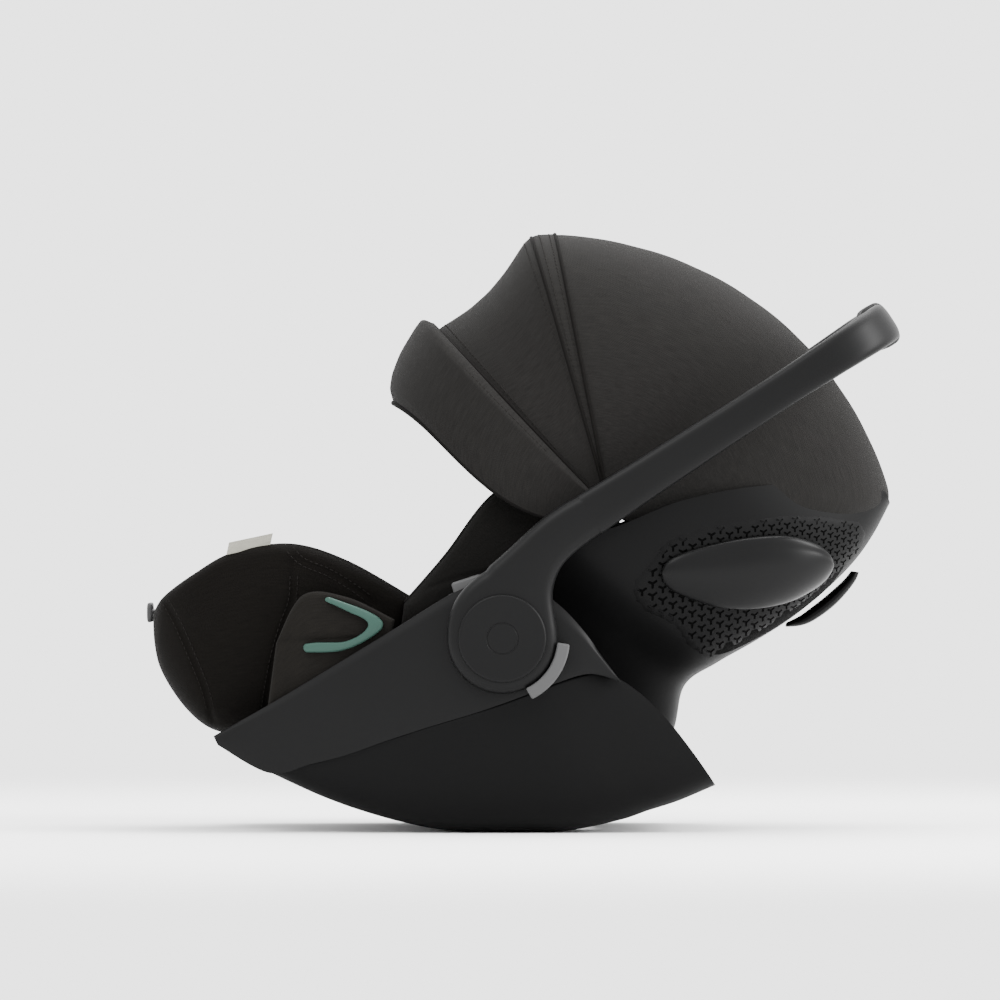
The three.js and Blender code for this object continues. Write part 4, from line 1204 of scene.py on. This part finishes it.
for hand, side in SIDES:
    for number, seam in enumerate(LEG_SEAMS):
        line = along(seam, np.linspace(0.16 if number == 0 else 0.08, 0.92, 40))
        for offset in (-3.4, 3.4):
            way = np.gradient(line, axis=0)
            way /= np.linalg.norm(way, axis=1, keepdims=True)
            row = line + np.stack([-way[:, 1], way[:, 0]], -1) * offset
            path = surface_path(row[:, 0], row[:, 1], leg_outer, side)
            path[:, 1] = path[:, 1] - side * 0.1
            stitches(f"leg_stitch_{hand}_{number}_{'a' if offset < 0 else 'b'}", path, "leg_rest",
                     "seat_fabric")


def rounded_bar(name, low, high, round_by, squareness, axis=1):
    """A bar along one axis whose section is a superellipse and whose ends are drawn in softly."""
    low, high = np.array(low, float), np.array(high, float)
    others = [k for k in range(3) if k != axis]
    length = high[axis] - low[axis]
    end = 0.5 * (1 - np.cos(np.linspace(0, np.pi, 9)[:-1])) * round_by / length
    s = np.concatenate([end, np.linspace(round_by, length - round_by, 14) / length, 1 - end[::-1]])
    distance = np.minimum(s, 1 - s) * length
    size = 0.5 + 0.5 * np.sqrt(np.clip(1 - (1 - np.clip(distance / round_by, 0, 1)) ** 2, 0, 1))
    b = np.linspace(0, 2 * np.pi, 28, endpoint=False)
    half = 0.5 * (high - low)
    ring = np.zeros((len(s), 28, 3))
    middle = 0.5 * (low + high)
    ring[..., axis] = (low[axis] + s * (high[axis] - low[axis]))[:, None]
    for k, wave in zip(others, (np.cos(b), np.sin(b))):
        ring[..., k] = middle[k] + half[k] * size[:, None] * signed_power(wave, squareness)[None]
    return loft(name, ring, sharp=60)


foot_low, foot_high = corners("foot_lever")
dress(rounded_bar("foot_pull", foot_low, foot_high, 4.0, 0.55),
      SLATE, "foot_lever", "grey_plastic", "foot_lever")
STEM_REACH, STEM_HALF = 24.0, (14.0, 3.0)
foot_middle = 0.5 * (np.array(foot_low) + np.array(foot_high))
stem_low = (foot_middle[0], foot_middle[1] - STEM_HALF[0], foot_middle[2] - STEM_HALF[1])
stem_high = (foot_high[0] + STEM_REACH, foot_middle[1] + STEM_HALF[0], foot_middle[2] + STEM_HALF[1])
dress(rounded_bar("foot_pull_stem", stem_low, stem_high, 1.5, 0.55, axis=0),
      SLATE, "foot_lever", "grey_plastic")


def make_label():
    """A folded tape sewn into the leg rest's top edge: a strip with a soft wave, standing up."""
    low, high = corners("fabric_label")
    u = np.linspace(-1, 1, 33)[:, None]
    v = np.linspace(0, 1, 15)[None]
    tilt = math.radians(12)
    x0, z0 = 0.5 * (low[0] + high[0]), 0.5 * (low[2] + high[2])
    along_tape, up = 20.4 * u + 0 * v, -8.4 + 11.6 * v + 0 * u
    x = x0 + along_tape * math.cos(tilt) + up * math.sin(tilt)
    z = z0 + up * math.cos(tilt) + along_tape * math.sin(tilt)
    y = 0.5 * (low[1] + high[1]) - 0.9 * np.sin(np.pi * (u + 1) * 1.3) * v
    way = np.stack([x, y, z], -1)
    thing = plate("cloth_tab", way + (0, -0.75, 0), way + (0, 0.75, 0), bevel=0.25)
    return dress(thing, LABEL, "leg_rest", "label_fabric", "fabric_label")


make_label()


# ---- Belt guides --------------------------------------------------------------------------------

GUIDE_LOW = [(-230, 112), (-197, 129), (-160, 150), (-118, 174)]
GUIDE_HIGH = [(-222, 172), (-198, 215), (-158, 213.5), (-114, 193)]
HOOK_OUTER = [
    (-175.6, 214.2), (-163.4, 210), (-147, 204.2), (-137.2, 200.1), (-128.9, 195.2), (-124.6, 189.4),
    (-126.5, 184), (-133, 178.6), (-143, 172.4), (-155, 167), (-168, 163.9), (-182, 163.2), (-196.5, 163.2)]
HOOK_INNER = [
    (-178.4, 210), (-166, 204.8), (-153.6, 199), (-145.5, 195.6), (-140, 192.2), (-138.2, 188.8),
    (-139.6, 184.8),
    (-144.6, 180), (-152.5, 175.6), (-161.5, 172.8), (-174, 172.4), (-186, 172.2), (-197.5, 170.6)]


def evenly(line, count):
    """A smooth line through the points, at equal lengths."""
    fine = along(line, np.linspace(0, 1, 400))
    run = np.concatenate([[0], np.cumsum(np.linalg.norm(np.diff(fine, axis=0), axis=1))])
    at = np.linspace(0, run[-1], count)
    return np.stack([np.interp(at, run, fine[:, k]) for k in range(fine.shape[1])], -1)


def guide_face(x):
    return panel_width(x) - 13.4


def make_guide(hand, side):
    """A cloth-covered plate with a soft swell, and the teal hook that the belt runs behind: a flat
    band carried along a sideways V with a round nose."""
    u = np.linspace(0, 1, 71)[:, None]
    v = np.linspace(0, 1, 41)[None]
    low, high = along(GUIDE_LOW, u[:, 0])[:, None], along(GUIDE_HIGH, u[:, 0])[:, None]
    point = low + (high - low) * v[..., None]
    swell = 2.2 * pillow(u, v, 0.4) - 1.2
    face = guide_face(point[..., 0])
    outer = np.stack([point[..., 0], side * (face + swell), point[..., 1]], -1)
    inner = np.stack([point[..., 0], side * (face - 8.5), point[..., 1]], -1)
    slot = line_press(point[..., 0], point[..., 1], [(-219, 173), (-190, 173.5), (-150, 176)], 1.8, 2.4)
    thing = pad(f"guide_plate_{hand}", outer, inner, press=slot)
    dress(thing, TRIM, "leg_rest", "seat_fabric", f"belt_guide_housing_{hand}")

    one, two = evenly(HOOK_OUTER, 110), evenly(HOOK_INNER, 110)
    middle, half = 0.5 * (one + two), 0.5 * (one - two)
    way = np.gradient(middle, axis=0)
    way /= np.linalg.norm(way, axis=1, keepdims=True)
    ends = np.minimum(np.linspace(0, 1, 110), np.linspace(1, 0, 110))
    size = np.sqrt(np.clip(1 - (1 - np.clip(ends / 0.022, 0, 1)) ** 2, 0.12, 1))
    b = np.linspace(0, 2 * np.pi, 28, endpoint=False)
    flat = signed_power(np.cos(b), 0.55)
    tall = signed_power(np.sin(b), 0.65)
    place = middle[:, None] + (half * size[:, None])[:, None] * flat[None, :, None]
    y = side * (guide_face(middle[:, 0])[:, None] + 4.6 + 4.0 * size[:, None] * tall[None])
    rings = np.stack([place[..., 0], y, place[..., 1]], -1)
    thing = loft(f"guide_hook_{hand}", rings, sharp=60)
    dress(thing, TEAL, "leg_rest", "teal_plastic", f"belt_guide_{hand}")


for hand, side in SIDES:
    make_guide(hand, side)


# ---- Layered blocks: housings and buttons --------------------------------------------------------

def oblong(half_x, half_y, corner, count=8):
    """A rounded rectangle about the origin."""
    result = []
    for sx, sy, start in ((1, 1, 0), (-1, 1, 90), (-1, -1, 180), (1, -1, 270)):
        result.append(arc(sx * (half_x - corner), sy * (half_y - corner), corner, start, start + 90, count))
    return np.concatenate(result)


def block(name, outline, layers, origin, tilt, sharp=50):
    """An outline in a local X-Y plane stacked into a solid. Each layer is [drawn in by, height], and
    the local frame is turned about Y by tilt degrees and set at origin."""
    outline = np.asarray(outline, float)
    way = np.roll(outline, -1, axis=0) - np.roll(outline, 1, axis=0)
    inward = np.stack([-way[:, 1], way[:, 0]], -1)
    inward /= np.maximum(np.linalg.norm(inward, axis=1, keepdims=True), 1e-9)
    a = math.radians(tilt)
    rings = []
    for inset, height in layers:
        flat = outline + inward * inset
        x = flat[:, 0] * math.cos(a) + height * math.sin(a)
        z = -flat[:, 0] * math.sin(a) + height * math.cos(a)
        rings.append(np.stack([origin[0] + x, origin[1] + flat[:, 1], origin[2] + z], -1))
    return loft(name, rings, sharp=sharp)


def crown(low, high, edge=1.6):
    """Layers of a block with a soft top edge."""
    return [
        (0.0, low), (0.0, high - edge), (0.3 * edge, high - 0.4 * edge), (edge, high - 0.08 * edge),
        (2 * edge, high)]


RELEASE_TILT = -18
for hand, side in SIDES:
    at = (-47, side * 168.5, 222)
    ring = [(0.8, -18), (0, -17.2), (0, -1.6), (0.5, -0.5), (1.6, 0), (4.2, 0), (4.9, -0.8), (5.0, -13)]
    dress(block(f"release_frame_{hand}", oblong(20, 11, 4.5), ring, at, RELEASE_TILT),
          SHELL, "base", "shell_plastic", f"release_housing_{hand}")
    dress(block(f"release_key_{hand}", oblong(14.4, 5.6, 3.2), crown(-6.5, 9, 2.4), at, RELEASE_TILT),
          GREY, f"release_button_{hand}", "grey_plastic", f"release_button_{hand}")


# ---- Seat cushion, buckle and adjuster -----------------------------------------------------------

CUSHION_LOW = [(-130, 119), (-110, 92), (-60, 66), (-10, 60), (22, 62)]
CUSHION_HIGH = [(-118, 138), (-96, 118), (-50, 98), (-6, 92), (30, 92)]


def make_cushion():
    """The seat pad: a slab between two curves, dished across, with three seams across it and a slot
    round the crotch strap."""
    u = np.linspace(0, 1, 66)[:, None]
    y = np.linspace(-1, 1, 90)[None]
    low, high = along(CUSHION_LOW, u[:, 0])[:, None], along(CUSHION_HIGH, u[:, 0])[:, None]
    rise = 5.0 * y ** 2 - 2.0
    top = np.stack([high[..., 0] + 0 * y, 115 * y + 0 * u, high[..., 1] + rise], -1)
    bottom = np.stack([low[..., 0] + 0 * y, 115 * y + 0 * u, low[..., 1] + 0 * rise], -1)
    seam = sum(2.6 * bump(u, at, 0.022) for at in (0.3, 0.56, 0.8)) * smooth(1.0, 0.8, np.abs(y))
    side_seam = 2.4 * bump(np.abs(y), 0.62, 0.02) * smooth(0.0, 0.12, u)
    slot = 7.0 * bump(y, 0.0, 0.13) * bump(u, 0.47, 0.05)
    return pad("seat_padding", top, bottom, press=seam + side_seam + slot)


cushion = dress(make_cushion(), INLAY, "base", "inlay_fabric", "seat_cushion")


def strap(name, path, half, thick, material, body, slot, *nodes, edge=None):
    """A flat woven band along a path, with a rolled edge on both sides. Across it is level."""
    path = np.asarray(path, float)
    way = np.gradient(path, axis=0)
    way /= np.linalg.norm(way, axis=1, keepdims=True)
    side = np.array((0.0, 1.0, 0.0)) - way * way[:, 1:2]
    side /= np.linalg.norm(side, axis=1, keepdims=True)
    up = np.cross(way, side)
    b = np.linspace(0, 2 * np.pi, 36, endpoint=False)
    wide = signed_power(np.cos(b), 0.35)
    tall = signed_power(np.sin(b), 0.75)
    spread = half * (np.ones(len(path)) if edge is None else edge)
    ring = (path[:, None] + side[:, None] * (spread[:, None] * wide[None])[..., None]
            + up[:, None] * (0.5 * thick * tall)[None, :, None])
    return dress(loft(name, ring, sharp=60), material, body, slot, *nodes)


crotch = along([(-54, 0, 99), (-56, 0, 101.5), (-57, 0, 110), (-57.8, 0, 117)], np.linspace(0, 1, 14))
strap("crotch_webbing", crotch, 16, 2.2, WEBBING, "base", "webbing", "crotch_strap")
BUCKLE_TILT, BUCKLE_AT = -28, (-62, 0, 128)
ADJUSTER_TILT, ADJUSTER_AT = 38, (-104, 0, 132)
buckle_layers = [(4, -8), (1, -7.4), (0, -5.5), (0, 4.0), (0.8, 6.2), (2.6, 7.6), (5.0, 8.0), (7.5, 7.6)]
buckle_shape = oblong(25.5, 20.5, 10)
adjuster_layers = [(1.5, 0), (0, 1), (0, 8.5), (0.9, 10.4), (2.6, 11), (6, 11)]
dress(block("buckle_body", buckle_shape, buckle_layers, BUCKLE_AT, BUCKLE_TILT),
      DARK, "base", "dark_plastic", "buckle")
dress(block("buckle_key", oblong(8.6, 8.6, 3) + (-17, 0), crown(3.2, 10.5, 1.8), BUCKLE_AT, BUCKLE_TILT),
      RED, "buckle_button", "red_plastic", "buckle_button")
dress(block("adjuster_body", oblong(17, 20, 6), adjuster_layers, ADJUSTER_AT, ADJUSTER_TILT),
      DARK, "base", "dark_plastic", "harness_adjuster")
dress(block("adjuster_key", oblong(8, 9, 3), crown(8.4, 12.5, 1.4), ADJUSTER_AT, ADJUSTER_TILT),
      GREY, "adjuster_button", "grey_plastic", "adjuster_button")


# ---- Back cushion, wings, headrest and harness ---------------------------------------------------

back_outer, back_inner = soft_trough(SHELL_RIM, SHELL_BACK, SHELL_HALVES, 84, 140, 5.4, COVER_WALL, 0.225,
                                     0.93)
v_share = np.linspace(-1, 1, 140)[None]
u_share = np.linspace(0, 1, 84)[:, None]
cross_seams = sum(2.2 * bump(u_share, at, 0.012) for at in (0.3, 0.62))
quilt = 2.6 * bump(np.abs(v_share), 0.3, 0.012) + cross_seams * (np.abs(v_share) < 0.3)
back_pad = pad("back_padding", back_outer, back_inner,
               press_inner=quilt + 0.6 * np.sin(8 * v_share + 3 * u_share))
dress(back_pad, INLAY, "back", "inlay_fabric", "back_cushion")

WING_LOW = [(-109, 184), (-72, 169), (-36, 165), (-4, 172), (18, 190)]
WING_HIGH = [(-106, 207), (-68, 251), (-27, 304), (20, 330), (54, 304)]


def make_wing(hand, side):
    """A padded side wing: a leaf that stands beside the sitter, bowed outwards up its height, with a
    bound edge and a long dart."""
    u = np.linspace(0, 1, 76)[:, None]
    v = np.linspace(0, 1, 76)[None]
    low, high = along(WING_LOW, u[:, 0])[:, None], along(WING_HIGH, u[:, 0])[:, None]
    point = low + (high - low) * v[..., None]
    bow = 7.5 * np.sin(np.pi * v)
    outer = np.stack([point[..., 0], side * (148.5 + bow + 0 * u), point[..., 1]], -1)
    inner = np.stack([point[..., 0], side * (134.5 - bow + 0 * u), point[..., 1]], -1)
    dart = line_press(point[..., 0], point[..., 1], [(-84, 222), (-52, 232), (-12, 240), (24, 246)], 1.3,
                      2.2)
    wave = 0.5 * np.sin(point[..., 0] * 0.11 + point[..., 1] * 0.03)
    thing = pad(f"wing_padding_{hand}", outer, inner, press=dart + wave)
    dress(thing, WING_CLOTH, "back", "seat_fabric", f"side_wing_{hand}")
    edge = np.concatenate([(0.5 * (outer + inner))[1:-1, -1]])
    dress(tube(f"wing_binding_{hand}", edge, 1.7), PIPING, "back", "seat_fabric")


for hand, side in SIDES:
    make_wing(hand, side)

HEAD_RIM = [(118, 262), (140, 281), (170, 296), (198, 305)]
HEAD_LOW = [(166, 196), (188, 213), (212, 232), (233, 250)]
HEAD_HALVES = [122, 128, 126, 112]
head_outer, head_inner = soft_trough(HEAD_RIM, HEAD_LOW, HEAD_HALVES, 60, 130, 0.4, 19.0)
v_head = np.linspace(-1, 1, 130)[None]
u_head = np.linspace(0, 1, 60)[:, None]
head_press = 2.8 * bump(np.abs(v_head), 0.36, 0.012) + 2.0 * bump(u_head, 0.5,
                                                                  0.02) * (np.abs(v_head) < 0.36)
head = pad("headrest_padding", head_outer, head_inner, press_inner=head_press)
dress(head, INLAY, "headrest", "inlay_fabric", "headrest")


for name, angle, radii, half, fan, body in (
        ("visor_stitch_front", 151.8, VISOR_RADII, VISOR_HALF, visor_spread(151.8), "visor"),
        ("visor_stitch_rear", 135.3, VISOR_RADII, visor_half(135.3), visor_spread(135.3), "visor"),
        ("front_stitch_fore", 131.4, FRONT_RADII, CANOPY_HALF, 0.0, "canopy_front"),
        ("front_stitch_crown_a", 107.6, FRONT_RADII, CANOPY_HALF, 0.0, "canopy_front"),
        ("front_stitch_crown_b", 104.2, FRONT_RADII, CANOPY_HALF, 0.0, "canopy_front"),
        ("front_stitch_crown_c", 102.2, FRONT_RADII, CANOPY_HALF, 0.0, "canopy_front")):
    seam = canopy_line(angle, radii, float(half), 0.1, fan, span=(0.05, 0.95), count=400)
    stitches(name, seam, body, "canopy_fabric")


def strap_route(start, end, count=60):
    t = np.linspace(start, end, count)
    sag = 26 * np.sin(np.pi * t)
    return np.stack([144 + (-18 - 144) * t + 0.4 * sag, 40 + (26 - 40) * t, 214 + (138 - 214) * t - sag],
                    -1)


for hand, side in SIDES:
    route = strap_route(0.02, 0.6) * (1, side, 1)
    ends = np.linspace(0, 1, 60)
    taper = np.sqrt(np.clip(1 - (1 - np.clip(np.minimum(ends, 1 - ends) / 0.05, 0, 1)) ** 2, 0.16, 1))
    thing = strap(f"shoulder_padding_{hand}", route, 23.5, 11.4, INLAY, "back", "inlay_fabric",
                  f"shoulder_pad_{hand}", edge=taper)
    lower = strap_route(0.605, 1.0, 30) * (1, side, 1)
    strap(f"harness_webbing_{hand}", lower, 17, 2.3, WEBBING, "back", "webbing", f"shoulder_strap_{hand}")


# ---- CAD nodes that stay ------------------------------------------------------------------------

def finish_node(material, *nodes):
    for node in nodes:
        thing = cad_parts[node]
        thing.data.materials.clear()
        thing.data.materials.append(material)


finish_node(STEEL, "lock_bar_front", "lock_bar_rear", "hub_axle_left", "hub_axle_right",
            "recline_pin_left", "recline_pin_right")
finish_node(DARK, "dock_rail_left", "dock_rail_right", "canopy_visor_bow", "canopy_mid_bow")
finish_node(SHELL, "canopy_pivot_left", "canopy_pivot_right")


# ---- Floor --------------------------------------------------------------------------------------

def make_floor_material(radius):
    """Pale paper with a faint fibre. It fades to clear towards its rim, by the distance from the
    seat, so that no horizon shows."""
    material = bpy.data.materials.new("studio floor")
    material.use_nodes = True
    tree = material.node_tree
    tree.nodes.clear()
    place = put(tree, "ShaderNodeTexCoord").outputs["Object"]
    fibre = put(tree, "ShaderNodeTexNoise", {"Vector": place}, Scale=260.0, Detail=3.0)
    rough = put(tree, "ShaderNodeMapRange", {"Value": fibre.outputs["Fac"]})
    rough.inputs["To Min"].default_value, rough.inputs["To Max"].default_value = 0.75, 0.9
    paper = put(tree, "ShaderNodeBsdfPrincipled", {"Roughness": rough.outputs["Result"]})
    paper.inputs["Base Color"].default_value = (0.80, 0.80, 0.80, 1)
    paper.inputs["Specular IOR Level"].default_value = 0.1
    clear = put(tree, "ShaderNodeBsdfTransparent")
    away = put(tree, "ShaderNodeVectorMath", {0: place}, operation="LENGTH")
    fade = put(tree, "ShaderNodeMapRange", {"Value": away.outputs["Value"]},
               interpolation_type="SMOOTHSTEP")
    fade.inputs["From Min"].default_value, fade.inputs["From Max"].default_value = 0.35 * radius, 0.98 * radius
    mix = put(tree, "ShaderNodeMixShader",
              {0: fade.outputs["Result"], 1: paper.outputs["BSDF"], 2: clear.outputs["BSDF"]})
    output = put(tree, "ShaderNodeOutputMaterial")
    tree.links.new(mix.outputs["Shader"], output.inputs["Surface"])
    return material


def make_floor():
    """A disc of floor: rings of points about the origin."""
    radius = 2.2
    r = np.linspace(0.001, radius / MM, 40)[:, None]
    a = np.linspace(0, 2 * np.pi, 96, endpoint=False)[None]
    points = np.stack([r * np.cos(a), r * np.sin(a), 0 * r * a - 0.3], -1)
    floor = make_mesh("floor", points, grid_faces(40, 96, wrap_columns=True), sharp=0)
    floor.data.flip_normals()
    floor.data.materials.append(make_floor_material(radius))


make_floor()
